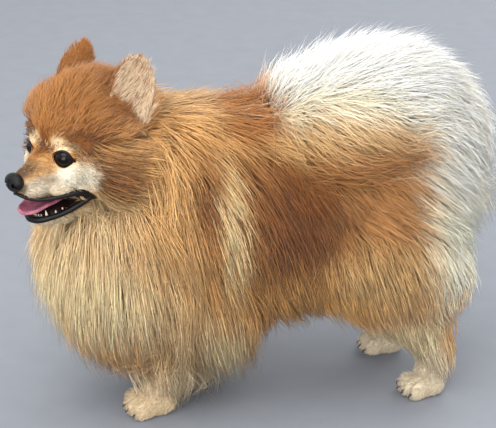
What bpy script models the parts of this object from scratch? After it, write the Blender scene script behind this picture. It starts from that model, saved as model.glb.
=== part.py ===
"""A standing pomeranian at life size, as a still model in solid pieces.

-Y is forward, +X is the dog's left and +Z is up, in metres. The origin is on the floor, under the
middle of the dog's box. Sizes are of a small adult: 0.205 at the withers, under the coat.
"""

import itertools
import math
import random
from collections import namedtuple

import bmesh
import bpy
from mathutils import Euler, Matrix, Vector
from mathutils.bvhtree import BVHTree

# Clearances and the fineness of the forms
GAP = 0.0003
CUT_GAP = 0.0005
MOUTH_GAP = 0.0014
TOUCH = 0.0000012
NUDGE = 0.00010
MOST_TRIES = 60
BODY_VOXEL = 0.0040
TRUNK_VOXEL = 0.0055
HEAD_VOXEL = 0.0018
LIMB_VOXEL = 0.0028
PAW_VOXEL = 0.0018
BODY_TRIANGLES = 9000
TRUNK_TRIANGLES = 860
HEAD_TRIANGLES = 1600
JAW_TRIANGLES = 240
MOUTH_TRIANGLES = 320
LEG_TRIANGLES = 220
PAW_TRIANGLES = 190
TAIL_TRIANGLES = 260

# The frame: where the trunk's own axes sit from the origin
FRAME_SHIFT = Vector((0.001, 0.0025, 0.0))

# How much of the coat's depth the core of each form takes in, and the whole of it
CORE_SHARE = 0.45
FULL_SHARE = 1.0

HEAD_SHARE = 0.55

# Each mass of the body: its centre, the half sizes of the flesh, and the depth of the coat over it
Mass = namedtuple("Mass", "centre flesh coat")
RIBS = Mass((0.0, -0.030, 0.152), (0.046, 0.084, 0.053), (0.034, 0.030, 0.032))
BRISKET = Mass((0.0, -0.045, 0.110), (0.036, 0.048, 0.034), (0.034, 0.028, 0.048))
BELLY = Mass((0.0, 0.014, 0.120), (0.032, 0.050, 0.028), (0.034, 0.028, 0.036))
FORECHEST = Mass((0.0, -0.090, 0.128), (0.040, 0.040, 0.052), (0.044, 0.043, 0.050))
LOIN = Mass((0.0, 0.045, 0.152), (0.038, 0.060, 0.042), (0.036, 0.030, 0.036))
RUMP = Mass((0.0, 0.092, 0.142), (0.040, 0.046, 0.048), (0.036, 0.038, 0.040))
NAPE = Mass((0.006, -0.090, 0.187), (0.032, 0.030, 0.034), (0.040, 0.034, 0.020))
SCRUFF = Mass((0.0, -0.060, 0.178), (0.038, 0.036, 0.034), (0.040, 0.034, 0.024))
TRUNK = (RIBS, BRISKET, BELLY, FORECHEST, LOIN, RUMP, NAPE, SCRUFF)

# The cut between neck and trunk runs from the withers down to the point of the chest
NECK_CUT_POINT = Vector((0.0, -0.050, 0.215))
NECK_CUT_NORMAL = Vector((0.0, -0.75, 0.66)).normalized()

# The head has its own axes, with their origin midway between the eyes
HEAD_PLACE = Vector((0.0412, -0.1568, 0.2107))
HEAD_TURN = math.radians(35.0)
HEAD_NOD = math.radians(1.5)
CRANIUM = Mass((0.0, 0.044, 0.010), (0.031, 0.034, 0.030), (0.014, 0.010, 0.014))
FOREHEAD = Mass((0.0, 0.020, 0.012), (0.023, 0.019, 0.019), (0.006, 0.003, 0.008))
TEMPLE = Mass((0.019, 0.035, 0.006), (0.021, 0.022, 0.026), (0.016, 0.009, 0.012))
CHEEK = Mass((0.022, 0.031, -0.012), (0.018, 0.018, 0.021), (0.017, 0.010, 0.013))
JOWL = Mass((0.016, 0.024, -0.022), (0.013, 0.018, 0.012), (0.008, 0.006, 0.006))
OCCIPUT = Mass((0.0, 0.062, -0.010), (0.026, 0.026, 0.028), (0.016, 0.010, 0.016))
BRIDGE = Mass((0.0, 0.004, -0.006), (0.0125, 0.018, 0.0095), (0.0015, 0.001, 0.002))
MUZZLE = Mass((0.0, -0.008, -0.0135), (0.0115, 0.018, 0.0088), (0.002, 0.001, 0.0012))
SNOUT = Mass((0.0, -0.019, -0.0145), (0.0082, 0.0095, 0.0075), (0.001, 0.0005, 0.0008))
FLEW = Mass((0.0078, -0.010, -0.0190), (0.0060, 0.0135, 0.0058), (0.0012, 0.001, 0.0008))
LIP_BACK = Mass((0.0155, 0.006, -0.0215), (0.0068, 0.0150, 0.0070), (0.003, 0.002, 0.001))
CHEEKBONE = Mass((0.0150, 0.0125, -0.0100), (0.0130, 0.0165, 0.0140), (0.001, 0.001, 0.001))
FACE = (CRANIUM, FOREHEAD, TEMPLE, CHEEK, JOWL, OCCIPUT, BRIDGE, MUZZLE, SNOUT, FLEW, LIP_BACK, CHEEKBONE)

JAW_BACK = Mass((0.0, 0.0240, -0.0410), (0.0205, 0.0170, 0.0090), (0.0040, 0.0030, 0.0030))
JAW_MIDDLE = Mass((0.0, 0.0080, -0.0430), (0.0160, 0.0150, 0.0078), (0.0015, 0.0010, 0.0017))
JAW_FRONT = Mass((0.0, -0.0040, -0.0452), (0.0100, 0.0090, 0.0056), (0.0005, 0.0005, 0.0010))
JAW = (JAW_BACK, JAW_MIDDLE, JAW_FRONT)

# Eyes, in the head's axes
EYE_CENTRE = Vector((0.0142, 0.0074, 0.0))
EYE_RADIUS = 0.0090
EYE_OUTWARD = math.radians(32.0)
LID_THICKNESS = 0.0014
FISSURE_HALF_LENGTH = 0.0074
FISSURE_HALF_HEIGHT = 0.0058
FISSURE_SLANT = math.radians(-14.0)

# The nose pad, in the head's axes
NOSE_CENTRE = Vector((0.0, -0.0275, -0.0118))
NOSE_HALF_SIZES = Vector((0.0072, 0.0050, 0.0058))
NOSTRIL_OFFSET = Vector((0.0036, -0.0042, -0.0006))
NOSTRIL_HALF_SIZES = Vector((0.0013, 0.0030, 0.0017))

# The tongue lies on the jaw and its tip hangs over the front teeth
TONGUE_LINE = ((0.016, -0.0325), (0.004, -0.0335), (-0.008, -0.0352), (-0.017, -0.0368), (-0.0225, -0.0385))
TONGUE_HALF_WIDTHS = (0.0085, 0.0098, 0.0100, 0.0092, 0.0050)
TONGUE_HALF_THICKNESS = 0.0013
TONGUE_CUP = 0.0030

# Lower teeth: front teeth in a row between two fangs
TOOTH_LENGTH = 0.0034
TOOTH_RADIUS = 0.0008
FANG_LENGTH = 0.0052
FANG_RADIUS = 0.0011
FRONT_TEETH = 6

# Lips: a rim along each edge of the mouth, from the corner to the middle
UPPER_LIP = ((0.0235, 0.0195, -0.0292), (0.0205, 0.0080, -0.0275), (0.0150, -0.0060, -0.0252),
             (0.0105, -0.0165, -0.0236), (0.0055, -0.0235, -0.0222), (0.0, -0.0262, -0.0208))
LOWER_LIP = ((0.0232, 0.0215, -0.0318), (0.0188, 0.0120, -0.0362), (0.0140, 0.0010, -0.0388),
             (0.0098, -0.0080, -0.0408), (0.0055, -0.0128, -0.0418), (0.0, -0.0145, -0.0422))
LIP_RADIUS = 0.0013

# Ears, in the head's axes: a cupped leaf from its base to its tip
EAR_BASE = Vector((0.0310, 0.0480, 0.0260))
EAR_TIP = Vector((0.0262, 0.0650, 0.0615))
EAR_HALF_WIDTH = 0.0135
EAR_CUP = 0.0085
EAR_THICKNESS = 0.0022
EAR_SPLAY = math.radians(28.0)
EAR_ROOT = 0.012

# Feet: where each sole stands, and its turn
FRONT_PAW = (0.030, 0.042, 0.024)
HIND_PAW = (0.027, 0.037, 0.022)
PAW_CUT = 0.020
FRONT_LEFT_FOOT = Vector((0.0315, -0.0860, 0.0))
FRONT_RIGHT_FOOT = Vector((-0.0315, -0.0560, 0.0))
HIND_LEFT_FOOT = Vector((0.0375, 0.1190, 0.0))
HIND_RIGHT_FOOT = Vector((-0.0395, 0.1060, 0.0))
FOOT_TURN = math.radians(7.0)
CLAW_LENGTH = 0.0046
CLAW_RADIUS = 0.0015

# Legs: the line of the bones from the top down, from the foot's place, with the radius of each point
FRONT_LEG = (((-0.010, 0.020, 0.100), 0.0150), ((-0.009, 0.022, 0.078), 0.0140), ((-0.005, 0.014, 0.055), 0.0125),
             ((0.000, 0.006, 0.032), 0.0122), ((0.000, 0.004, 0.018), 0.0122), ((0.000, 0.003, 0.010), 0.0110))
HIND_LEG = (((0.000, -0.044, 0.105), 0.0240), ((0.002, -0.030, 0.082), 0.0220), ((0.001, -0.006, 0.062), 0.0180),
            ((0.000, 0.009, 0.045), 0.0145), ((0.000, 0.008, 0.028), 0.0120), ((0.000, 0.004, 0.012), 0.0110))
THIGH = Mass((-0.002, -0.030, 0.116), (0.023, 0.038, 0.034), (0.030, 0.026, 0.022))
BREECH = Mass((-0.004, 0.004, 0.100), (0.016, 0.020, 0.022), (0.026, 0.020, 0.020))
THIGHS = (THIGH, BREECH)

LEGS = {
    "front_left": (FRONT_LEG, (), FRONT_LEFT_FOOT, 1),
    "front_right": (FRONT_LEG, (), FRONT_RIGHT_FOOT, -1),
    "hind_left": (HIND_LEG, THIGHS, HIND_LEFT_FOOT, 1),
    "hind_right": (HIND_LEG, THIGHS, HIND_RIGHT_FOOT, -1),
}

# The tail: its line from the root, up and forward over the back, with the radius of each point
TAIL_LINE = (((0.0, 0.098, 0.160), 0.015), ((0.0, 0.118, 0.186), 0.015), ((0.0, 0.120, 0.208), 0.014),
             ((0.0, 0.098, 0.222), 0.013), ((0.0, 0.066, 0.226), 0.011), ((0.0, 0.034, 0.226), 0.008))
PLUME_TOP = Mass((0.0, 0.088, 0.222), (0.030, 0.050, 0.020), (0.028, 0.036, 0.030))
PLUME_BACK = Mass((0.0, 0.124, 0.198), (0.026, 0.026, 0.030), (0.032, 0.030, 0.034))
PLUME_FRONT = Mass((0.0, 0.040, 0.222), (0.018, 0.026, 0.014), (0.026, 0.022, 0.026))
PLUME_SIDE = Mass((0.036, 0.056, 0.208), (0.010, 0.030, 0.014), (0.028, 0.026, 0.022))

PLUME = (PLUME_TOP, PLUME_BACK, PLUME_FRONT, PLUME_SIDE)

# The coat's locks: how far apart the roots are, and each lock's length, width and thickness
Locks = namedtuple("Locks", "spacing length width thickness")
TRUNK_LOCKS = Locks(0.0325, 0.078, 0.037, 0.0090)
NECK_LOCKS = Locks(0.0215, 0.062, 0.028, 0.0075)
TAIL_LOCKS = Locks(0.0265, 0.068, 0.034, 0.0080)
THIGH_LOCKS = Locks(0.0285, 0.052, 0.030, 0.0075)
CHEEK_LOCKS = Locks(0.0155, 0.029, 0.0170, 0.0044)
LOCK_LENGTHS = (1.0, 0.85, 0.7, 0.56, 0.42)
HIDDEN = 0.006
ROOT_SHARES = (0.75, 0.55, 0.4)
SEED = 8

# A lock's outline: at each share of its length, the share of its width and how far it has risen to the tips
LOCK_STATIONS = ((0.0, 0.50, 0.0), (0.36, 1.0, 0.46), (0.70, 0.78, 0.80), (1.0, 0.0, 1.0))

# Where the plume of the tail fans out from
FAN_CENTRE = Vector((0.0, 0.020, 0.175))

# The finish of each kind of node, where it isn't the coat, and the colour, roughness and metallic value of each
FINISH_OF = {"jaw": "cream", "paw": "cream", "tail": "white", "nose": "black_skin", "tongue": "tongue", "eye": "eye"}
FINISHES = {
    "coat": ((0.52, 0.27, 0.11), 0.85, 0.0),
    "cream": ((0.78, 0.62, 0.43), 0.85, 0.0),
    "white": ((0.86, 0.78, 0.66), 0.85, 0.0),
    "black_skin": ((0.015, 0.013, 0.013), 0.45, 0.0),
    "eye": ((0.012, 0.007, 0.005), 0.08, 0.0),
    "tongue": ((0.62, 0.23, 0.27), 0.40, 0.0),
}


def clear_scene():
    """Removes what the scene holds at the start."""
    for thing in list(bpy.data.objects):
        bpy.data.objects.remove(thing)


def collection_named(name):
    """A collection of that name, linked to the scene."""
    made = bpy.data.collections.new(name)
    bpy.context.scene.collection.children.link(made)
    return made


def finish(name):
    """The Principled material of one finish."""
    made = bpy.data.materials.get(name)
    if made:
        return made
    colour, roughness, metallic = FINISHES[name]
    made = bpy.data.materials.new(name)
    made.use_nodes = True
    shader = made.node_tree.nodes["Principled BSDF"]
    shader.inputs["Base Color"].default_value = (*colour, 1.0)
    shader.inputs["Roughness"].default_value = roughness
    shader.inputs["Metallic"].default_value = metallic
    return made


def object_of(name, form):
    """An object for a bmesh, which it frees."""
    mesh = bpy.data.meshes.new(name)
    form.to_mesh(mesh)
    form.free()
    made = bpy.data.objects.new(name, mesh)
    bpy.context.scene.collection.objects.link(made)
    return made


def remove(*things):
    """Removes objects."""
    for thing in things:
        bpy.data.objects.remove(thing)


def settle(thing):
    """Applies what stands on an object: its modifiers, and its place."""
    graph = bpy.context.evaluated_depsgraph_get()
    mesh = bpy.data.meshes.new_from_object(thing.evaluated_get(graph))
    mesh.transform(thing.matrix_world)
    thing.modifiers.clear()
    thing.matrix_world = Matrix.Identity(4)
    thing.data = mesh
    return thing


def ball(centre, half_sizes, segments=24, rings=16):
    """An ellipsoid, as a unit sphere stretched to its half sizes."""
    form = bmesh.new()
    bmesh.ops.create_uvsphere(form, u_segments=segments, v_segments=rings, radius=1.0)
    bmesh.ops.scale(form, vec=half_sizes, verts=form.verts)
    bmesh.ops.translate(form, vec=centre, verts=form.verts)
    return object_of("ball", form)


def grown(mass, share, side=1):
    """The ellipsoid of a mass with a share of its coat, mirrored for side -1."""
    centre = (mass.centre[0] * side, mass.centre[1], mass.centre[2])
    half_sizes = [flesh + share * coat for flesh, coat in zip(mass.flesh, mass.coat)]
    return ball(centre, half_sizes)


def on_both_sides(masses, share):
    """An ellipsoid for each mass, and one more for each mass that lies off the middle."""
    made = [grown(mass, share) for mass in masses]
    return made + [grown(mass, share, -1) for mass in masses if mass.centre[0] > 0.005]


def smooth_line(points, steps):
    """Points on a smooth curve through the given ones, with steps between each pair."""
    ends = [points[0], *points, points[-1]]
    line = []
    for i in range(1, len(ends) - 2):
        before, start, end, after = (Vector(ends[i + k]) for k in (-1, 0, 1, 2))
        for k in range(steps):
            t = k / steps
            line.append(0.5 * (2 * start + (end - before) * t + (2 * before - 5 * start + 4 * end - after) * t ** 2
                               + (3 * start - before - 3 * end + after) * t ** 3))
    return line + [Vector(points[-1])]


def tube(points, radii, resolution=3, steps=3):
    """A round tube along a smooth line, with closed ends and a radius at each point."""
    line = smooth_line([(*point, 0.0) for point in points], steps)
    widths = smooth_line([(radius, 0.0, 0.0, 0.0) for radius in radii], steps)
    curve = bpy.data.curves.new("tube", "CURVE")
    curve.dimensions = "3D"
    curve.bevel_depth = 1.0
    curve.bevel_resolution = resolution
    curve.use_fill_caps = True
    spline = curve.splines.new("POLY")
    spline.points.add(len(line) - 1)
    for spot, place, width in zip(spline.points, line, widths):
        spot.co = (place[0], place[1], place[2], 1.0)
        spot.radius = width[0]
    wire = bpy.data.objects.new("tube", curve)
    bpy.context.scene.collection.objects.link(wire)
    graph = bpy.context.evaluated_depsgraph_get()
    form = bmesh.new()
    form.from_mesh(bpy.data.meshes.new_from_object(wire.evaluated_get(graph)))
    bmesh.ops.remove_doubles(form, verts=form.verts, dist=1e-5)
    bmesh.ops.recalc_face_normals(form, faces=form.faces)
    remove(wire)
    return object_of("tube", form)


def gathered(pieces):
    """One object that holds the meshes of several, which it removes."""
    form = bmesh.new()
    for piece in pieces:
        form.from_mesh(piece.data)
    remove(*pieces)
    return object_of("gathered", form)


def blended(pieces, voxel, smoothing, triangles):
    """One smooth closed form from pieces that overlap."""
    made = gathered(pieces)
    remesh = made.modifiers.new("Blend", "REMESH")
    remesh.mode = "VOXEL"
    remesh.voxel_size = voxel
    settle(made)
    soften = made.modifiers.new("Soften", "SMOOTH")
    soften.factor = 0.5
    soften.iterations = smoothing
    settle(made)
    count = 2 * len(made.data.polygons)
    thin = made.modifiers.new("Thin", "DECIMATE")
    thin.ratio = min(1.0, triangles / count)
    thin.use_collapse_triangulate = True
    return settle(made)


def swollen(thing, by):
    """A copy of an object whose skin stands out by a distance, as a cutter that leaves a gap."""
    form = bmesh.new()
    form.from_mesh(thing.data)
    form.normal_update()
    moves = [vert.normal * by * vert.calc_shell_factor() for vert in form.verts]
    for vert, move in zip(form.verts, moves):
        vert.co += move
    return object_of("cutter", form)


def combined(thing, others, operation):
    """Joins others to an object or cuts them from it, in one Boolean, and removes them.

    Where the result touches itself, the others are nudged by a hair's breadth and it is made again.
    """
    tools = bpy.data.collections.new("tools")
    bpy.context.scene.collection.children.link(tools)
    for other in others:
        for owner in list(other.users_collection):
            owner.objects.unlink(other)
        tools.objects.link(other)
        other.display_type = "WIRE"
        other.hide_render = True
    before = thing.data.copy()
    moves = [Vector()] * len(others)
    for attempt in range(MOST_TRIES):
        boolean = thing.modifiers.new("Combine", "BOOLEAN")
        boolean.operand_type = "COLLECTION"
        boolean.collection = tools
        boolean.operation = operation
        boolean.solver = "MANIFOLD"
        settle(thing)
        if whole(thing) or attempt == MOST_TRIES - 1:
            break
        thing.data = before.copy()
        nudge = random.Random(attempt)
        for k, other in enumerate(others):
            moved, moves[k] = moves[k], Vector([nudge.uniform(-NUDGE, NUDGE) for _ in range(3)])
            other.data.transform(Matrix.Translation(moves[k] - moved))
    remove(*others)
    bpy.data.collections.remove(tools)
    return thing


def whole(thing):
    """Keeps only the largest closed surface of an object, and says whether it's clear of itself."""
    form = bmesh.new()
    form.from_mesh(thing.data)
    bmesh.ops.remove_doubles(form, verts=form.verts, dist=TOUCH)
    seen, islands = set(), []
    for start in form.faces:
        if start in seen:
            continue
        island, front = [], [start]
        seen.add(start)
        while front:
            face = front.pop()
            island.append(face)
            for edge in face.edges:
                others = edge.link_faces
                if len(others) == 2:
                    front += [other for other in others if other not in seen]
                    seen.update(others)
        islands.append(island)
    islands.sort(key=len)
    bmesh.ops.delete(form, geom=[face for island in islands[:-1] for face in island], context="FACES")
    sound = all(len(edge.link_faces) == 2 for edge in form.edges) and all(vert.is_manifold for vert in form.verts)
    if sound:
        form.to_mesh(thing.data)
    form.free()
    return sound


def sliced(thing, point, normal):
    """Cuts away what lies on the side of a plane that its normal points to, and closes the cut."""
    form = bmesh.new()
    form.from_mesh(thing.data)
    cut = bmesh.ops.bisect_plane(form, geom=[*form.verts, *form.edges, *form.faces], dist=1e-7, plane_co=point,
                                 plane_no=normal, clear_outer=True)
    edges = [item for item in cut["geom_cut"] if isinstance(item, bmesh.types.BMEdge)]
    bmesh.ops.holes_fill(form, edges=edges)
    bmesh.ops.triangulate(form, faces=form.faces)
    form.to_mesh(thing.data)
    form.free()
    return thing


def named(thing, name, finish_name, part):
    """Gives an object its name and finish, and puts it in the part's collection."""
    thing.name = name
    thing.data.name = name
    thing.data.materials.clear()
    thing.data.materials.append(finish(finish_name))
    thing.data.shade_smooth()
    thing.data.set_sharp_from_angle(angle=math.radians(40.0))
    for owner in list(thing.users_collection):
        owner.objects.unlink(thing)
    part.objects.link(thing)
    return thing


def head_matrix():
    """The head's axes in the dog's."""
    return Matrix.Translation(HEAD_PLACE) @ Euler((HEAD_NOD, 0.0, HEAD_TURN)).to_matrix().to_4x4()


def in_head(thing):
    """Moves an object that was made in the head's axes to its place."""
    thing.data.transform(head_matrix())
    return thing


def eye_matrix(side):
    """An eye's axes in the head's: -Y looks out, X runs along the opening of the lids."""
    centre = Vector((EYE_CENTRE.x * side, EYE_CENTRE.y, EYE_CENTRE.z))
    return Matrix.Translation(centre) @ Euler((0.0, -FISSURE_SLANT * side, EYE_OUTWARD * side), "YZX").to_matrix().to_4x4()


def almond(side):
    """The cutter of the opening between the lids, a prism whose outline is pointed at both corners."""
    form = bmesh.new()
    depth = 2 * EYE_RADIUS
    bmesh.ops.create_cone(form, cap_ends=True, segments=16, radius1=1.0, radius2=1.0, depth=depth)
    for vert in form.verts:
        across, up = vert.co.x, vert.co.y
        pinch = 1.0 - 0.35 * across * across
        height = vert.co.z - depth / 2
        vert.co = (across * FISSURE_HALF_LENGTH, height, up * pinch * FISSURE_HALF_HEIGHT)
    bmesh.ops.recalc_face_normals(form, faces=form.faces)
    made = object_of("almond", form)
    made.data.transform(eye_matrix(side))
    return made


def lip(points):
    """A lip's rim from one corner of the mouth round to the other."""
    half = [Vector(point) for point in points]
    line = half + [Vector((-point.x, point.y, point.z)) for point in reversed(half[:-1])]
    return tube(line, [LIP_RADIUS] * len(line), resolution=1, steps=1)


def tree_of(thing):
    """A tree of an object's faces, to find what is near it or meets it."""
    return BVHTree.FromObject(thing, bpy.context.evaluated_depsgraph_get())


class Coat:
    """The lie of the coat between the body's core and the form that the tips reach."""

    def __init__(self, core, tips):
        self.core = tree_of(core)
        self.tips = tree_of(tips)
        self.flow = None
        self.locks = None

    def depth(self, place, normal):
        """How far the tips' form stands over a point of the core."""
        hit = self.tips.ray_cast(place, normal, 0.08)
        return hit[3] if hit[0] else 0.6 * self.locks.thickness

    def path(self, start, length, sunk):
        """A lock's line: the place, normal and share of the width at each station."""
        line, reached, place = [], 0.0, start
        for along, width, risen in LOCK_STATIONS:
            for _ in range(2):
                near, normal, _, _ = self.core.find_nearest(place)
                place = near + self.flow(near, normal) * (along - reached) * length / 2
            near, normal, _, _ = self.core.find_nearest(place)
            rise = self.depth(near, normal) * risen - (sunk * self.locks.thickness if along == 0.0 else 0.0)
            line.append((near + normal * rise, normal, width))
            reached = along
        return line

    def lock(self, start, scale, sunk):
        """One flat lock that tapers and bends from its root to its tip."""
        line = self.path(start, self.locks.length * scale, sunk)
        form = bmesh.new()
        rings = []
        for i, (place, normal, width) in enumerate(line[:-1]):
            ahead = (line[i + 1][0] - line[max(i - 1, 0)][0]).normalized()
            across = ahead.cross(normal).normalized()
            up = across.cross(ahead)
            half, thick = across * width * self.locks.width * scale / 2, up * self.locks.thickness * (0.5 + width / 2)
            corners = (place + half - thick * 0.3, place + thick * 0.7, place - half - thick * 0.3)
            rings.append([form.verts.new(corner) for corner in corners])
        tip = form.verts.new(line[-1][0])
        form.faces.new(rings[0])
        for near, far in zip(rings, rings[1:]):
            for k in range(3):
                form.faces.new((near[k], far[k], far[k - 2], near[k - 2]))
        for k in range(3):
            form.faces.new((rings[-1][k], tip, rings[-1][k - 2]))
        bmesh.ops.recalc_face_normals(form, faces=form.faces)
        bmesh.ops.triangulate(form, faces=form.faces)
        return object_of("lock", form)


def spread(core, spacing, chance, kept):
    """Points spread evenly over a form, at least a spacing apart, where kept says that locks grow."""
    mesh = core.data
    mesh.calc_loop_triangles()
    corners = [[mesh.vertices[index].co.copy() for index in triangle.vertices] for triangle in mesh.loop_triangles]
    areas = [triangle.area for triangle in mesh.loop_triangles]
    found = []
    for a, b, c in chance.choices(corners, areas, k=4000):
        u, v = sorted((chance.random(), chance.random()))
        place = a * u + b * (v - u) + c * (1 - v)
        if kept(place) and all((place - other).length > spacing for other in found):
            found.append(place)
    return found


def meeting(thing, others):
    """Those of the others whose surfaces cross the object's."""
    tree = tree_of(thing)
    return [other for other in others if tree.overlap(tree_of(other))]


def locks_over(core, coat, flow, locks, chance, kept, blocks):
    """The locks of one node, each shortened, or left out, so that it stays clear of the other nodes."""
    coat.flow, coat.locks = flow, locks
    made = []

    def open_to_air(place):
        """Whether a place of the core lies on the body's outside, where locks are wanted."""
        return kept(place) and (coat.core.find_nearest(place)[0] - place).length < HIDDEN

    for place in spread(core, locks.spacing, chance, open_to_air):
        scale = chance.uniform(0.92, 1.06)
        for share, sunk in itertools.product(LOCK_LENGTHS, ROOT_SHARES):
            lock = coat.lock(place, scale * share, sunk)
            tree = tree_of(lock)
            if not any(tree.overlap(block) for block in blocks):
                made.append(lock)
                break
            remove(lock)
    return made


def copied(thing):
    """A copy of an object with its own mesh."""
    made = thing.copy()
    made.data = thing.data.copy()
    bpy.context.scene.collection.objects.link(made)
    return made


def within(masses, place, share, side=0):
    """Whether a point is inside any of the masses with a share of their coat."""
    for mass in masses:
        for turned in ((side,) if side else (1, -1)):
            ratio = [(value - centre) / (flesh + share * coat) for value, centre, flesh, coat
                     in zip(place, (mass.centre[0] * turned, *mass.centre[1:]), mass.flesh, mass.coat)]
            if sum(value * value for value in ratio) < 1.0:
                return True
    return False


def along_surface(direction, normal):
    """A direction laid along the surface that has this normal."""
    return (direction - normal * direction.dot(normal)).normalized()


def trunk_flow(place, normal):
    """The lie of the coat on neck and trunk: down in front, back and down behind."""
    back = 0.15 + 0.95 * min(1.0, max(0.0, (place.y + 0.11) / 0.15))
    outward = 0.35 * normal.x * max(0.0, normal.z)
    return along_surface(Vector((outward, back, -0.85)), normal)


def thigh_flow(place, normal):
    """The lie of the coat on the thighs: down and back."""
    return along_surface(Vector((0.0, 0.55, -1.0)), normal)


def tail_flow(place, normal):
    """The lie of the plume, which fans out over the back and falls at its sides."""
    fan = (place - FAN_CENTRE).normalized()
    return along_surface(fan + Vector((0.6 * normal.x, 0.35, -0.35 * abs(normal.x))), normal)


def head_flow(place, normal):
    """The lie of the coat on the head: away from the face."""
    axes = head_matrix().to_3x3()
    local = head_matrix().inverted() @ place
    away = Vector((local.x * 14.0, 0.9, -0.35))
    return along_surface(axes @ away, normal)


def on_cheeks(place):
    """Whether a head lock grows here: on the cheeks and temples and at the back, clear of the face and ears."""
    local = head_matrix().inverted() @ place
    clear_of_ears = local.z < 0.020 or abs(local.x) < 0.012
    clear_of_face = local.y > 0.005 and abs(local.x) + 0.5 * local.y > 0.037
    return clear_of_face and local.z > -0.036 and clear_of_ears


def head_form(share):
    """The head without its eyes, nose and mouth line, in its own axes."""
    masses = on_both_sides(FACE, share)
    masses += [ball((EYE_CENTRE.x * side, EYE_CENTRE.y, EYE_CENTRE.z), [EYE_RADIUS + 0.0012] * 3) for side in (1, -1)]
    return blended(masses, HEAD_VOXEL, 7, HEAD_TRIANGLES)


def mouth_space(jaw, tongue):
    """The cutter of the space that the jaw and the tongue need in the head and the neck."""
    pieces = []
    for thing in (jaw, tongue):
        pieces.append(swollen(thing, MOUTH_GAP))
    return blended(pieces, HEAD_VOXEL, 1, MOUTH_TRIANGLES)


def carved_head(form, seats):
    """Adds lids and lips to the head, and cuts the sockets, the lids' openings and the seats given."""
    sides = (1, -1)
    centres = [Vector((EYE_CENTRE.x * side, EYE_CENTRE.y, EYE_CENTRE.z)) for side in sides]
    lids = [ball(centre, [EYE_RADIUS + LID_THICKNESS] * 3, 14, 9) for centre in centres]
    combined(form, [*lids, lip(UPPER_LIP)], "UNION")
    sockets = [ball(centre, [EYE_RADIUS + CUT_GAP] * 3, 14, 9) for centre in centres]
    openings = [almond(side) for side in sides]
    return combined(form, [*sockets, *openings, *seats], "DIFFERENCE")


def jaw_form(share):
    """The lower jaw with its lip, in the head's axes."""
    made = blended(on_both_sides(JAW, share), HEAD_VOXEL, 4, JAW_TRIANGLES)
    return combined(made, [lip(LOWER_LIP)], "UNION")


def tooth(place, length, radius):
    """One pointed tooth that stands on the jaw."""
    form = bmesh.new()
    bmesh.ops.create_cone(form, cap_ends=True, segments=4, radius1=radius, radius2=radius * 0.2, depth=length)
    bmesh.ops.translate(form, vec=place + Vector((0.0, 0.0, length / 2)), verts=form.verts)
    return object_of("tooth", form)


def teeth():
    """The lower front teeth in an arc, with a fang at each end."""
    made = []
    for i in range(FRONT_TEETH):
        swing = math.radians(-50.0 + 100.0 * i / (FRONT_TEETH - 1))
        place = Vector((0.0052 * math.sin(swing), -0.0062 - 0.0048 * math.cos(swing), -0.0420))
        made.append(tooth(place, TOOTH_LENGTH, TOOTH_RADIUS))
    for side in (1, -1):
        made.append(tooth(Vector((0.0066 * side, -0.0062, -0.0420)), FANG_LENGTH, FANG_RADIUS))
    return made


def tongue_form():
    """The tongue, a flat leaf with its edges turned up, in the head's axes."""
    form = bmesh.new()
    across, along = 4, 8
    bmesh.ops.create_grid(form, x_segments=across, y_segments=along, size=1.0)
    line = smooth_line([(0.0, y, z) for y, z in TONGUE_LINE], 2)
    widths = smooth_line([(width, 0.0, 0.0) for width in TONGUE_HALF_WIDTHS], 2)
    for vert in form.verts:
        u, step = vert.co.x, round((vert.co.y + 1) / 2 * along)
        lift = TONGUE_CUP * u * u * min(1.0, 1.6 - step / along)
        vert.co = (u * widths[step].x, line[step].y, line[step].z + lift)
    made = object_of("tongue", form)
    thick = made.modifiers.new("Thick", "SOLIDIFY")
    thick.thickness = 2 * TONGUE_HALF_THICKNESS
    thick.offset = 0.0
    settle(made)
    bend = bmesh.new()
    bend.from_mesh(made.data)
    bmesh.ops.triangulate(bend, faces=bend.faces)
    bmesh.ops.recalc_face_normals(bend, faces=bend.faces)
    bend.to_mesh(made.data)
    bend.free()
    return made


def nose_form():
    """The nose pad with its two nostrils, in the head's axes."""
    made = ball(NOSE_CENTRE, NOSE_HALF_SIZES, 14, 9)
    holes = []
    for side in (1, -1):
        place = NOSE_CENTRE + Vector((NOSTRIL_OFFSET.x * side, NOSTRIL_OFFSET.y, NOSTRIL_OFFSET.z))
        hole = ball((0.0, 0.0, 0.0), NOSTRIL_HALF_SIZES, 8, 6)
        hole.data.transform(Matrix.Translation(place) @ Euler((0.0, 0.5 * side, 0.5 * side)).to_matrix().to_4x4())
        holes.append(hole)
    return combined(made, holes, "DIFFERENCE")


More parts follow.
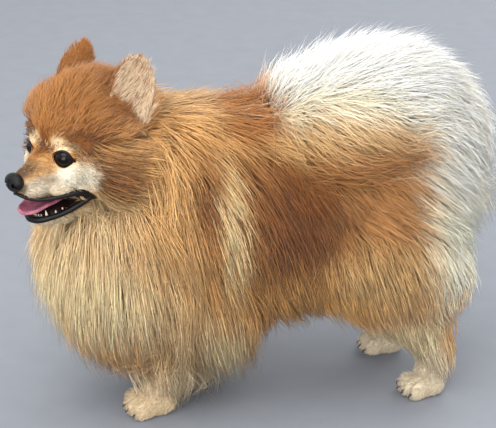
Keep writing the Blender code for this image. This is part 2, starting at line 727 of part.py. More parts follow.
def ear_form(side):
    """One ear, a cupped leaf that opens forward and outward, in the head's axes."""
    form = bmesh.new()
    across, along = 6, 8
    bmesh.ops.create_grid(form, x_segments=across, y_segments=along, size=1.0)
    base = Vector((EAR_BASE.x * side, EAR_BASE.y, EAR_BASE.z))
    tip = Vector((EAR_TIP.x * side, EAR_TIP.y, EAR_TIP.z))
    rise = (tip - base).normalized()
    opening = Vector((math.sin(EAR_SPLAY) * side, -math.cos(EAR_SPLAY), 0.0))
    opening = (opening - rise * opening.dot(rise)).normalized()
    breadth = rise.cross(opening)
    root = base - rise * EAR_ROOT
    height = (tip - root).length
    for vert in form.verts:
        u, v = vert.co.x, (vert.co.y + 1) / 2
        width = EAR_HALF_WIDTH * (1.0 - v ** 2.2) ** 0.8 * (0.85 + 0.45 * v) + 0.0010
        cup = EAR_CUP * (1.0 - u * u) * (1.0 - v) ** 0.7
        vert.co = root + rise * (height * v) + breadth * (width * u) - opening * cup
    made = object_of("ear", form)
    thick = made.modifiers.new("Thick", "SOLIDIFY")
    thick.thickness = EAR_THICKNESS
    thick.offset = 0.0
    settle(made)
    bend = bmesh.new()
    bend.from_mesh(made.data)
    bmesh.ops.triangulate(bend, faces=bend.faces)
    bmesh.ops.recalc_face_normals(bend, faces=bend.faces)
    bend.to_mesh(made.data)
    bend.free()
    return made


def paw_form(foot, size, turn):
    """A paw with four toes and claws and a flat sole, at its place."""
    half_width, half_length, height = size[0] / 2, size[1] / 2, size[2]
    masses = [ball((0.0, 0.003, height * 0.40), (half_width * 0.84, half_length * 0.78, height * 0.52), 16, 10),
              ball((0.0, 0.004, height * 0.80), (half_width * 0.80, half_width * 0.84, height * 0.60), 16, 10)]
    claws = []
    for i in range(4):
        swing = math.radians(-21.0 + 14.0 * i)
        ahead = half_length * (0.46 if i in (1, 2) else 0.34)
        centre = Vector((half_width * (-0.63 + 0.42 * i), -ahead, height * 0.32))
        toe = ball((0.0, 0.0, 0.0), (half_width * 0.32, half_length * 0.52, height * 0.36), 12, 8)
        toe.data.transform(Matrix.Translation(centre) @ Matrix.Rotation(swing, 4, "Z"))
        masses.append(toe)
        form = bmesh.new()
        bmesh.ops.create_cone(form, cap_ends=True, segments=4, radius1=CLAW_RADIUS, radius2=0.0004, depth=CLAW_LENGTH)
        claw = object_of("claw", form)
        point = centre + Matrix.Rotation(swing, 3, "Z") @ Vector((0.0, -half_length * 0.48, -height * 0.10))
        claw.data.transform(Matrix.Translation(point) @ Matrix.Rotation(swing, 4, "Z")
                            @ Matrix.Rotation(math.radians(112.0), 4, "X"))
        claws.append(claw)
    made = blended(masses, PAW_VOXEL, 2, PAW_TRIANGLES)
    combined(made, claws, "UNION")
    sliced(made, Vector((0.0, 0.0, 0.0)), Vector((0.0, 0.0, -1.0)))
    made.data.transform(Matrix.Translation(foot) @ Matrix.Rotation(turn, 4, "Z"))
    return made


def leg_pieces(line, masses, foot, side, share):
    """The pieces of a leg from inside the body down into its paw, with the masses of its thigh."""
    points = [foot + Vector((place[0] * side, place[1], place[2])) for place, _ in line]
    pieces = [tube(points, [radius for _, radius in line])]
    for mass in masses:
        moved = Mass(tuple(foot + Vector((mass.centre[0] * side, mass.centre[1], mass.centre[2]))), mass.flesh, mass.coat)
        pieces.append(grown(moved, share))
    return pieces


def tail_pieces(share):
    """The pieces of the tail that curls over the back, with the core of its plume."""
    return [tube([place for place, _ in TAIL_LINE], [radius for _, radius in TAIL_LINE]), *on_both_sides(PLUME, share)]


def body_form(share, head_share):
    """The whole body in one, for the lie of its coat."""
    pieces = on_both_sides(TRUNK, share) + tail_pieces(share)
    pieces += [in_head(piece) for piece in on_both_sides(FACE, head_share)]
    for line, masses, foot, side in LEGS.values():
        pieces += leg_pieces(line, masses, foot, side, share)
    return blended(pieces, BODY_VOXEL, 4, BODY_TRIANGLES)


def parted(trunk):
    """The trunk parted into the neck and the torso by a thin cut."""
    neck = copied(trunk)
    sliced(trunk, NECK_CUT_POINT - NECK_CUT_NORMAL * GAP, NECK_CUT_NORMAL)
    sliced(neck, NECK_CUT_POINT, -NECK_CUT_NORMAL)
    return neck, trunk


def grown_copies(things):
    """Copies of objects whose skins stand out by the gap that other nodes keep from them."""
    return [swollen(thing, CUT_GAP) for thing in things]


def cut_clear(thing, others):
    """Cuts an object clear of others."""
    grown_others = grown_copies(others)
    crossing = meeting(thing, grown_others)
    remove(*[piece for piece in grown_others if piece not in crossing])
    return combined(thing, crossing, "DIFFERENCE") if crossing else thing


def cores():
    """The nodes before their locks, each cut clear of its neighbours."""
    jaw = in_head(jaw_form(FULL_SHARE))
    nose = in_head(nose_form())
    tongue = in_head(tongue_form())
    head = in_head(head_form(HEAD_SHARE))
    ears = {side: in_head(ear_form(side)) for side in (1, -1)}
    mouth = mouth_space(jaw, tongue)
    for ear in ears.values():
        cut_clear(ear, [head])
    cut_clear(jaw, [tongue])
    combined(jaw, [in_head(piece) for piece in teeth()], "UNION")
    cut_clear(tongue, [jaw])
    seats = [copied(mouth), *grown_copies([nose])]
    head_seat = copied(head)
    for thing in (head, *seats):
        thing.data.transform(head_matrix().inverted())
    carved_head(head, seats)
    in_head(head)
    tail = blended(tail_pieces(CORE_SHARE), LIMB_VOXEL, 6, TAIL_TRIANGLES)
    nodes = {"head": head, "jaw": jaw, "nose": nose, "tongue": tongue, "tail": tail,
             "ear_left": ears[1], "ear_right": ears[-1]}
    for name, (line, masses, foot, side) in LEGS.items():
        paw = paw_form(foot, HIND_PAW if masses else FRONT_PAW, FOOT_TURN * side)
        leg = blended(leg_pieces(line, masses, foot, side, CORE_SHARE), LIMB_VOXEL, 4, LEG_TRIANGLES)
        sliced(leg, Vector((0.0, 0.0, PAW_CUT)), Vector((0.0, 0.0, -1.0)))
        sliced(paw, Vector((0.0, 0.0, PAW_CUT - GAP)), Vector((0.0, 0.0, 1.0)))
        if masses:
            sliced(leg, Vector((GAP / 2 * side, 0.0, 0.0)), Vector((-side, 0.0, 0.0)))
            cut_clear(leg, [tail])
        nodes["leg_" + name], nodes["paw_" + name] = leg, paw
    trunk = blended(on_both_sides(TRUNK, CORE_SHARE), TRUNK_VOXEL, 5, TRUNK_TRIANGLES)
    neck, torso = parted(trunk)
    legs = [nodes["leg_" + name] for name in LEGS]
    for thing in (neck, torso):
        cut_clear(thing, [head_seat, tail, *legs, *ears.values()])
    crossing = meeting(neck, [mouth])
    combined(neck, [mouth], "DIFFERENCE") if crossing else remove(mouth)
    remove(head_seat)
    return {**nodes, "neck": neck, "torso": torso}


def main():
    """Builds each node and puts it in the part's collection."""
    clear_scene()
    part = collection_named("pomeranian")
    chance = random.Random(SEED)
    nodes = cores()
    forms = (body_form(CORE_SHARE, HEAD_SHARE), body_form(FULL_SHARE, FULL_SHARE))
    coat = Coat(*forms)
    remove(*forms)
    inverse = head_matrix().inverted()

    def on_neck(place):
        """Whether neck locks grow here: clear of the face."""
        return not within(FACE, inverse @ place, CORE_SHARE)

    growths = (
        ("neck", trunk_flow, NECK_LOCKS, on_neck),
        ("head", head_flow, CHEEK_LOCKS, on_cheeks),
        ("tail", tail_flow, TAIL_LOCKS, lambda place: True),
        ("leg_hind_left", thigh_flow, THIGH_LOCKS, lambda place: place.z > 0.065 and place.x > 0.02),
        ("leg_hind_right", thigh_flow, THIGH_LOCKS, lambda place: place.z > 0.065 and place.x < -0.02),
        ("torso", trunk_flow, TRUNK_LOCKS, lambda place: place.z > 0.05),
    )
    locks_of = {}
    for name, flow, locks, kept in growths:
        grown_others = grown_copies([other for key, other in nodes.items() if key != name])
        grown_others += grown_copies([lock for made in locks_of.values() for lock in made])
        blocks = [tree_of(other) for other in grown_others]
        locks_of[name] = locks_over(nodes[name], coat, flow, locks, chance, kept, blocks)
        remove(*grown_others)
    for name, locks in locks_of.items():
        combined(nodes[name], locks, "UNION")
    for side, word in ((1, "left"), (-1, "right")):
        eye = ball((0.0, 0.0, 0.0), [EYE_RADIUS] * 3, 14, 10)
        eye.data.transform(Matrix.Translation((EYE_CENTRE.x * side, EYE_CENTRE.y, EYE_CENTRE.z)))
        nodes["eye_" + word] = in_head(eye)
    for name, thing in nodes.items():
        thing.data.transform(Matrix.Translation(FRAME_SHIFT))
        named(thing, name, FINISH_OF.get(name.split("_")[0], "coat"), part)


main()
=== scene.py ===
"""The looks of a standing pomeranian: one skin, a coat of solid strands, and the face's fine parts.

Everything is made in the dog's own axes, in metres: -Y is forward, +X is the dog's left and +Z is up.
"""

import logging
import math
from dataclasses import dataclass, field
from enum import Enum
from itertools import product
from typing import Iterable, Sequence

import bmesh
import bpy
import numpy as np
from mathutils import Euler, Matrix, Vector
from mathutils.bvhtree import BVHTree


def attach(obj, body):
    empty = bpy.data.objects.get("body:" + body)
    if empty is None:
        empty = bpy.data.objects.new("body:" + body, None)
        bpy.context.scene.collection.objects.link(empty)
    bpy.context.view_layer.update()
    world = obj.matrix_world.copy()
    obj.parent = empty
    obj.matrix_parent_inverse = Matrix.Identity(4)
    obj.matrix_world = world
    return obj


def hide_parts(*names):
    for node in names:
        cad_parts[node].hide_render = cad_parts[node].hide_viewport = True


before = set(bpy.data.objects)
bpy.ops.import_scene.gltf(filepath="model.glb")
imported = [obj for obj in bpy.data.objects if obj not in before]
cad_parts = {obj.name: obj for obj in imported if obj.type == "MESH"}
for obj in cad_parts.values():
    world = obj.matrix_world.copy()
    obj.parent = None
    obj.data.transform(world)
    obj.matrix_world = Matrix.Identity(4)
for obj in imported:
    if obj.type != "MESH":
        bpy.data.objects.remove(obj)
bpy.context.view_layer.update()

LOG = logging.getLogger("pomeranian")

Array = np.ndarray
Chance = np.random.Generator
Piece = bpy.types.Object
Socket = bpy.types.NodeSocket
Material = bpy.types.Material
Triple = tuple[float, float, float]

# Where the dog's own axes sit from the frame's origin
FRAME_SHIFT = Vector((0.001, 0.0025, 0.0))
BAKE_MAP = "OFBake"
LIE_MAP = "lie"
COLOUR_LAYER = "coat_colour"
PATCH = 0.003
SIDES = ((1, "left"), (-1, "right"))
# A mass further off the middle than this has a twin on the other side
OFF_MIDDLE = 0.005
# The whole of the coat, out to its tips
FULL_SHARE = 1.0


def linear(colour: Sequence[float]) -> Array:
    """A colour of the screen's 0 to 255 as linear light."""
    value = np.asarray(colour, float) / 255.0
    return np.where(value <= 0.04045, value / 12.92, ((value + 0.055) / 1.055) ** 2.4)


def smooth_step(value: Array, low: float, high: float) -> Array:
    """A smooth rise from 0 at low to 1 at high."""
    t = np.clip((value - low) / (high - low), 0.0, 1.0)
    return t * t * (3.0 - 2.0 * t)


def unit(rows: Array) -> Array:
    """Each row scaled to length 1."""
    return rows / np.maximum(np.linalg.norm(rows, axis=-1, keepdims=True), 1e-12)


def scattered(chance: Chance, count: int) -> Array:
    """Random steps inside a unit ball."""
    return unit(chance.normal(size=(count, 3))) * chance.random((count, 1)) ** (1 / 3)


def strewn(chance: Chance, corners: Array, crosses: Array, weights: Array,
           count: int) -> tuple[Array, Array, Array]:
    """Random places on triangles, more of them on those that weigh more.

    Args:
        chance: The random draws.
        corners: Each triangle's corners.
        crosses: Each triangle's cross product.
        weights: Each triangle's weight.
        count: How many places.

    Returns:
        The places, their normals and the triangle of each.
    """
    picked = chance.choice(len(weights), count, p=weights / weights.sum())
    u, v = chance.random((2, count))
    flip = u + v > 1.0
    u[flip], v[flip] = 1.0 - u[flip], 1.0 - v[flip]
    first, second, third = (corners[picked, k] for k in range(3))
    places = first * (1 - u - v)[:, None] + second * u[:, None] + third * v[:, None]
    return places, unit(crosses)[picked], picked


# Meshes


def object_of(name: str, form: bmesh.types.BMesh) -> Piece:
    """An object for a bmesh, which it frees.

    Args:
        name: The object's name.
        form: The bmesh.

    Returns:
        The object, in the scene.
    """
    mesh = bpy.data.meshes.new(name)
    form.to_mesh(mesh)
    form.free()
    made = bpy.data.objects.new(name, mesh)
    bpy.context.scene.collection.objects.link(made)
    return made


def remove(*things: Piece) -> None:
    """Removes objects."""
    for thing in things:
        bpy.data.objects.remove(thing)


def settle(thing: Piece) -> Piece:
    """Applies an object's modifiers to its mesh.

    Args:
        thing: The object.

    Returns:
        The same object.
    """
    graph = bpy.context.evaluated_depsgraph_get()
    mesh = bpy.data.meshes.new_from_object(thing.evaluated_get(graph))
    thing.modifiers.clear()
    thing.data = mesh
    return thing


def ball(centre: Sequence[float], half_sizes: Sequence[float], segments: int = 24,
         rings: int = 16) -> Piece:
    """An ellipsoid, as a unit sphere stretched to its half sizes.

    Args:
        centre: The middle.
        half_sizes: The half size along each axis.
        segments: The faces round it.
        rings: The faces from pole to pole.

    Returns:
        The ellipsoid.
    """
    form = bmesh.new()
    bmesh.ops.create_uvsphere(form, u_segments=segments, v_segments=rings, radius=1.0)
    bmesh.ops.scale(form, vec=half_sizes, verts=form.verts)
    bmesh.ops.translate(form, vec=centre, verts=form.verts)
    return object_of("ball", form)


def smooth_line(points: Sequence[Sequence[float]], steps: int) -> list[Vector]:
    """Points on a smooth curve through the given ones, with steps between each pair.

    Args:
        points: The points in order.
        steps: The steps between two points.

    Returns:
        The points along the curve.
    """
    ends = [points[0], *points, points[-1]]
    line = []
    for i in range(1, len(ends) - 2):
        before, start, end, after = (Vector(ends[i + k]) for k in (-1, 0, 1, 2))
        for k in range(steps):
            t = k / steps
            bend = 2 * before - 5 * start + 4 * end - after
            twist = 3 * start - before - 3 * end + after
            line.append(0.5 * (2 * start + (end - before) * t + bend * t ** 2 + twist * t ** 3))
    return line + [Vector(points[-1])]


def tube(points: Sequence[Sequence[float]], radii: Sequence[float], resolution: int = 3,
         steps: int = 3) -> Piece:
    """A round tube along a smooth line, with closed ends and a radius at each point.

    Args:
        points: The points in order.
        radii: The radius at each point.
        resolution: How finely the tube is rounded.
        steps: The steps between two points.

    Returns:
        The tube.
    """
    line = smooth_line([tuple(point) for point in points], steps)
    widths = smooth_line([(radius, 0.0, 0.0) for radius in radii], steps)
    curve = bpy.data.curves.new("tube", "CURVE")
    curve.dimensions = "3D"
    curve.bevel_depth = 1.0
    curve.bevel_resolution = resolution
    curve.use_fill_caps = True
    spline = curve.splines.new("POLY")
    spline.points.add(len(line) - 1)
    for spot, place, width in zip(spline.points, line, widths):
        spot.co = (place[0], place[1], place[2], 1.0)
        spot.radius = width[0]
    wire = bpy.data.objects.new("tube", curve)
    bpy.context.scene.collection.objects.link(wire)
    graph = bpy.context.evaluated_depsgraph_get()
    form = bmesh.new()
    form.from_mesh(bpy.data.meshes.new_from_object(wire.evaluated_get(graph)))
    bmesh.ops.remove_doubles(form, verts=form.verts, dist=1e-6)
    bmesh.ops.recalc_face_normals(form, faces=form.faces)
    remove(wire)
    return object_of("tube", form)


def gathered(pieces: Iterable[Piece]) -> Piece:
    """One object that holds the meshes of several, which it removes.

    Args:
        pieces: The objects.

    Returns:
        The one object.
    """
    form = bmesh.new()
    pieces = list(pieces)
    for piece in pieces:
        form.from_mesh(piece.data)
    remove(*pieces)
    return object_of("gathered", form)


def blended(pieces: Iterable[Piece], voxel: float, smoothing: int) -> Piece:
    """One smooth closed form from pieces that overlap.

    Args:
        pieces: The forms that overlap.
        voxel: The size of the voxels.
        smoothing: The rounds of smoothing.

    Returns:
        The one form.
    """
    made = gathered(pieces)
    remesh = made.modifiers.new("Blend", "REMESH")
    remesh.mode = "VOXEL"
    remesh.voxel_size = voxel
    settle(made)
    soften = made.modifiers.new("Soften", "SMOOTH")
    soften.factor = 0.5
    soften.iterations = smoothing
    return settle(made)


def combined(thing: Piece, others: Sequence[Piece], operation: str) -> Piece:
    """Joins others to an object or cuts them from it, and removes them.

    Args:
        thing: The object.
        others: The objects to join or cut with.
        operation: UNION or DIFFERENCE.

    Returns:
        The same object.
    """
    tools = bpy.data.collections.new("tools")
    bpy.context.scene.collection.children.link(tools)
    for other in others:
        for owner in list(other.users_collection):
            owner.objects.unlink(other)
        tools.objects.link(other)
    boolean = thing.modifiers.new("Combine", "BOOLEAN")
    boolean.operand_type = "COLLECTION"
    boolean.collection = tools
    boolean.operation = operation
    boolean.solver = "MANIFOLD"
    settle(thing)
    remove(*others)
    bpy.data.collections.remove(tools)
    return thing


def tree_of(thing: Piece) -> BVHTree:
    """A tree of an object's faces."""
    return BVHTree.FromObject(thing, bpy.context.evaluated_depsgraph_get())


def arrays_of(thing: Piece) -> tuple[Array, Array]:
    """The corners of an object's triangles, in an order that never varies, and their cross products.

    Args:
        thing: The object.

    Returns:
        The corners and the cross product of each triangle.
    """
    mesh = thing.data
    mesh.calc_loop_triangles()
    places = np.empty(len(mesh.vertices) * 3)
    mesh.vertices.foreach_get("co", places)
    corners = np.empty(len(mesh.loop_triangles) * 3, np.int32)
    mesh.loop_triangles.foreach_get("vertices", corners)
    triples = corners.reshape(-1, 3)
    turns = (triples.argmin(1)[:, None] + np.arange(3)) % 3
    triples = np.take_along_axis(triples, turns, axis=1)
    triples = triples[np.lexsort(triples.T[::-1])]
    rows = places.reshape(-1, 3)[triples]
    return rows, np.cross(rows[:, 1] - rows[:, 0], rows[:, 2] - rows[:, 0])


def layer_of(mesh: bpy.types.Mesh, colours: Array) -> None:
    """Gives each vertex its colour.

    Args:
        mesh: The mesh.
        colours: A colour in linear light for each vertex.
    """
    layer = mesh.color_attributes.new(COLOUR_LAYER, "FLOAT_COLOR", "POINT")
    rows = np.concatenate([colours, np.ones((len(colours), 1))], 1)
    layer.data.foreach_set("color", rows.astype(np.float32).reshape(-1))


def triangles_of(thing: Piece) -> int:
    """How many triangles an object has."""
    return len(thing.data.loops) - 2 * len(thing.data.polygons)


def shaded_smooth(thing: Piece) -> Piece:
    """Turns smooth shading on."""
    thing.data.polygons.foreach_set("use_smooth", np.ones(len(thing.data.polygons), bool))
    return thing


# The body's masses


@dataclass(frozen=True)
class Mass:
    """One mass of the body: its centre, the half sizes of the flesh, and the depth of the coat over it."""

    centre: Triple
    flesh: Triple
    coat: Triple

    def form(self, share: float, side: int = 1) -> Piece:
        """The mass with a share of its coat, mirrored for side -1."""
        x, y, z = self.centre
        return ball((x * side, y, z), [flesh + share * coat for flesh, coat in zip(self.flesh, self.coat)])

    def moved(self, place: Vector, side: int) -> "Mass":
        """The mass of one leg, from the foot's place."""
        x, y, z = self.centre
        return Mass((place.x + x * side, place.y + y, place.z + z), self.flesh, self.coat)


@dataclass(frozen=True)
class HeadAxes:
    """The head's own axes, with their origin midway between the eyes."""

    place: Triple = (0.0412, -0.1568, 0.2107)
    turn: float = math.radians(35.0)
    nod: float = math.radians(1.5)

    @property
    def matrix(self) -> Matrix:
        """From the head's axes to the dog's."""
        return Matrix.Translation(self.place) @ Euler((self.nod, 0.0, self.turn)).to_matrix().to_4x4()

    def placed(self, thing: Piece) -> Piece:
        """Moves an object that was made in the head's axes."""
        thing.data.transform(self.matrix)
        return thing

    def local(self, places: Array) -> Array:
        """Places of the dog in the head's axes."""
        inverse = np.array(self.matrix.inverted())
        return places @ inverse[:3, :3].T + inverse[:3, 3]

    def turned(self, directions: Array) -> Array:
        """Directions of the head in the dog's axes."""
        return directions @ np.array(self.matrix)[:3, :3].T


HEAD = HeadAxes()


def both_sides(masses: Iterable[Mass], share: float) -> list[Piece]:
    """The forms of the masses, with one more for each that lies off the middle.

    Args:
        masses: The masses.
        share: How much of the coat's depth counts.

    Returns:
        The forms.
    """
    masses = list(masses)
    twins = [mass for mass in masses if mass.centre[0] > OFF_MIDDLE]
    return [mass.form(share) for mass in masses] + [mass.form(share, -1) for mass in twins]


TRUNK = {
    "ribs": Mass((0.0, -0.030, 0.152), (0.046, 0.084, 0.053), (0.034, 0.030, 0.032)),
    "brisket": Mass((0.0, -0.045, 0.110), (0.036, 0.048, 0.034), (0.034, 0.028, 0.048)),
    "belly": Mass((0.0, 0.014, 0.120), (0.032, 0.050, 0.028), (0.034, 0.028, 0.036)),
    "forechest": Mass((0.0, -0.090, 0.128), (0.040, 0.040, 0.052), (0.044, 0.043, 0.050)),
    "loin": Mass((0.0, 0.045, 0.152), (0.038, 0.060, 0.042), (0.036, 0.030, 0.036)),
    "rump": Mass((0.0, 0.092, 0.142), (0.040, 0.046, 0.048), (0.036, 0.038, 0.040)),
    "nape": Mass((0.006, -0.090, 0.187), (0.032, 0.030, 0.034), (0.040, 0.034, 0.020)),
    "scruff": Mass((0.0, -0.060, 0.178), (0.038, 0.036, 0.034), (0.040, 0.034, 0.024)),
}
FACE = {
    "cranium": Mass((0.0, 0.044, 0.010), (0.031, 0.034, 0.030), (0.014, 0.010, 0.014)),
    "forehead": Mass((0.0, 0.020, 0.012), (0.023, 0.019, 0.019), (0.006, 0.003, 0.008)),
    "temple": Mass((0.019, 0.035, 0.006), (0.021, 0.022, 0.026), (0.016, 0.009, 0.012)),
    "cheek": Mass((0.022, 0.031, -0.012), (0.018, 0.018, 0.021), (0.017, 0.010, 0.013)),
    "jowl": Mass((0.016, 0.024, -0.022), (0.013, 0.018, 0.012), (0.008, 0.006, 0.006)),
    "occiput": Mass((0.0, 0.062, -0.010), (0.026, 0.026, 0.028), (0.016, 0.010, 0.016)),
    "bridge": Mass((0.0, 0.004, -0.006), (0.0125, 0.018, 0.0095), (0.0015, 0.001, 0.002)),
    "muzzle": Mass((0.0, -0.008, -0.0135), (0.0115, 0.018, 0.0088), (0.002, 0.001, 0.0012)),
    "snout": Mass((0.0, -0.0185, -0.0155), (0.0084, 0.0100, 0.0080), (0.001, 0.0005, 0.0008)),
    "flew": Mass((0.0078, -0.010, -0.0200), (0.0062, 0.0145, 0.0062), (0.0012, 0.001, 0.0008)),
    "lip_back": Mass((0.0155, 0.006, -0.0215), (0.0068, 0.0150, 0.0070), (0.003, 0.002, 0.001)),
    "cheekbone": Mass((0.0150, 0.0125, -0.0100), (0.0130, 0.0165, 0.0140), (0.001, 0.001, 0.001)),
}
JAW = {
    "back": Mass((0.0, 0.0240, -0.0410), (0.0205, 0.0170, 0.0090), (0.0040, 0.0030, 0.0030)),
    "middle": Mass((0.0, 0.0080, -0.0430), (0.0160, 0.0150, 0.0078), (0.0015, 0.0010, 0.0017)),
    "front": Mass((0.0, -0.0040, -0.0452), (0.0100, 0.0090, 0.0056), (0.0005, 0.0005, 0.0010)),
}
THIGHS = {
    "thigh": Mass((-0.002, -0.030, 0.116), (0.023, 0.038, 0.034), (0.030, 0.026, 0.022)),
    "breech": Mass((-0.004, 0.004, 0.100), (0.016, 0.020, 0.022), (0.026, 0.020, 0.020)),
}
PLUME = {
    "top": Mass((0.0, 0.088, 0.222), (0.030, 0.050, 0.020), (0.028, 0.036, 0.030)),
    "back": Mass((0.0, 0.124, 0.198), (0.026, 0.026, 0.030), (0.032, 0.030, 0.034)),
    "front": Mass((0.0, 0.040, 0.222), (0.018, 0.026, 0.014), (0.026, 0.022, 0.026)),
    "side": Mass((0.036, 0.056, 0.208), (0.010, 0.030, 0.014), (0.028, 0.026, 0.022)),
}
TAIL_LINE = (((0.0, 0.098, 0.160), 0.015), ((0.0, 0.118, 0.186), 0.015), ((0.0, 0.120, 0.208), 0.014),
             ((0.0, 0.098, 0.222), 0.013), ((0.0, 0.066, 0.226), 0.011), ((0.0, 0.034, 0.226), 0.008))
FRONT_LEG = (((-0.010, 0.020, 0.100), 0.0150), ((-0.009, 0.022, 0.078), 0.0140),
             ((-0.005, 0.014, 0.055), 0.0125), ((0.000, 0.006, 0.032), 0.0122),
             ((0.000, 0.004, 0.018), 0.0122), ((0.000, 0.003, 0.010), 0.0110))
HIND_LEG = (((0.000, -0.044, 0.105), 0.0240), ((0.002, -0.030, 0.082), 0.0220),
            ((0.001, -0.006, 0.062), 0.0180), ((0.000, 0.009, 0.045), 0.0145),
            ((0.000, 0.008, 0.028), 0.0120), ((0.000, 0.004, 0.012), 0.0110))


@dataclass(frozen=True)
class Leg:
    """One leg: where its foot stands, the line of its bones from the top down, and its paw."""

    name: str
    foot: Triple
    side: int
    line: tuple
    paw: Triple
    masses: tuple[Mass, ...] = ()
    skin_share: float = 0.80
    turn: float = math.radians(7.0)
    toes: int = 4
    first_toe: float = -0.63
    toe_step: float = 0.42
    long_toe: float = 0.46
    short_toe: float = 0.34
    first_swing: float = -21.0
    swing_step: float = 14.0

    @property
    def stand(self) -> Matrix:
        """From the paw's own axes to the dog's."""
        return Matrix.Translation(self.foot) @ Matrix.Rotation(self.turn * self.side, 4, "Z")

    def forms(self, share: float) -> list[Piece]:
        """The leg's bones with their flesh, and the masses of its thigh.

        Args:
            share: How much of the coat's depth counts.

        Returns:
            The forms, in the dog's axes.
        """
        foot = Vector(self.foot)
        points = [foot + Vector((x * self.side, y, z)) for (x, y, z), _ in self.line]
        thin = self.skin_share if share < FULL_SHARE else 1.0
        made = [tube(points, [radius * thin for _, radius in self.line])]
        return made + [mass.form(share) for mass in self.placed_masses()]

    def placed_masses(self) -> list[Mass]:
        """The masses of the thigh, where they stand."""
        return [mass.moved(Vector(self.foot), self.side) for mass in self.masses]

    def toe(self, number: int, height_share: float) -> tuple[Vector, float]:
        """Where one of the toes lies in the paw's axes, and how far it swings outward.

        Args:
            number: The toe, counted from 0.
            height_share: Its height as a share of the paw's.

        Returns:
            The toe's middle and its swing.
        """
        half_width, half_length, height = self.paw[0] / 2, self.paw[1] / 2, self.paw[2]
        ahead = half_length * (self.long_toe if number in (1, 2) else self.short_toe)
        across = self.first_toe + self.toe_step * number
        swing = math.radians(self.first_swing + self.swing_step * number)
        return Vector((half_width * across, -ahead, height * height_share)), swing


LEGS = (
    Leg("front_left", (0.0315, -0.0860, 0.0), 1, FRONT_LEG, (0.030, 0.042, 0.024)),
    Leg("front_right", (-0.0315, -0.0560, 0.0), -1, FRONT_LEG, (0.030, 0.042, 0.024)),
    Leg("hind_left", (0.0375, 0.1190, 0.0), 1, HIND_LEG, (0.027, 0.037, 0.022), tuple(THIGHS.values())),
    Leg("hind_right", (-0.0395, 0.1060, 0.0), -1, HIND_LEG, (0.027, 0.037, 0.022), tuple(THIGHS.values())),
)


@dataclass
class Body:
    """The whole body at any depth of its coat, and the skin under it."""

    skin_share: float = 0.28
    lie_share: float = 0.45
    lie_head_share: float = 0.55
    body_voxel: float = 0.0030
    head_voxel: float = 0.0011
    paw_voxel: float = 0.0012
    lie_voxel: float = 0.0038
    bare_tail: float = 0.75
    jaw_share: float = 0.2
    sole: float = 0.0004
    body_smoothing: int = 4
    head_smoothing: int = 6
    paw_smoothing: int = 2

    def trunk(self, share: float) -> list[Piece]:
        """Trunk, tail and legs with a share of their coat.

        Args:
            share: How much of the coat's depth counts.

        Returns:
            The forms, in the dog's axes.
        """
        made = both_sides(TRUNK.values(), share) + both_sides(PLUME.values(), share)
        thin = self.bare_tail if share < FULL_SHARE else 1.0
        made.append(tube([place for place, _ in TAIL_LINE], [radius * thin for _, radius in TAIL_LINE]))
        for leg in LEGS:
            made += leg.forms(share)
        return made

    def whole(self, share: float, head_share: float) -> Piece:
        """The body in one form, for the lie of its coat."""
        head = [HEAD.placed(piece) for piece in both_sides(FACE.values(), head_share)]
        return blended(self.trunk(share) + head, self.lie_voxel, self.body_smoothing)

    def paw(self, leg: Leg) -> Piece:
        """A paw with four toes and a flat sole.

        Args:
            leg: The leg.

        Returns:
            The paw, where it stands.
        """
        half_width, half_length, height = leg.paw[0] / 2, leg.paw[1] / 2, leg.paw[2]
        masses = [ball((0.0, 0.003, height * 0.40), (half_width * 0.80, half_length * 0.74, height * 0.48)),
                  ball((0.0, 0.004, height * 0.80), (half_width * 0.72, half_width * 0.76, height * 0.56))]
        for number in range(leg.toes):
            centre, swing = leg.toe(number, 0.32)
            toe = ball((0.0, 0.0, 0.0), (half_width * 0.29, half_length * 0.50, height * 0.33))
            toe.data.transform(Matrix.Translation(centre) @ Matrix.Rotation(swing, 4, "Z"))
            masses.append(toe)
        made = blended(masses, self.paw_voxel, self.paw_smoothing)
        for vert in made.data.vertices:
            vert.co.z = max(vert.co.z, self.sole)
        made.data.transform(leg.stand)
        return made

    def skin(self) -> Piece:
        """One skin over trunk, head, jaw, tail, legs and paws.

        Returns:
            The skin, in the dog's axes.
        """
        trunk = blended(self.trunk(self.skin_share), self.body_voxel, self.body_smoothing)
        eyes = [Eye(side) for side, _ in SIDES]
        faces = both_sides(FACE.values(), self.skin_share) + both_sides(JAW.values(), self.jaw_share)
        faces += [ball(eye.centre, [eye.radius + eye.lid_thickness] * 3) for eye in eyes]
        head = blended(faces, self.head_voxel, self.head_smoothing)
        combined(head, [eye.lid() for eye in eyes], "UNION")
        combined(head, [cutter for eye in eyes for cutter in eye.cutters()], "DIFFERENCE")
        HEAD.placed(head)
        return combined(trunk, [head, *(self.paw(leg) for leg in LEGS)], "UNION")


# Eyes, nose, mouth


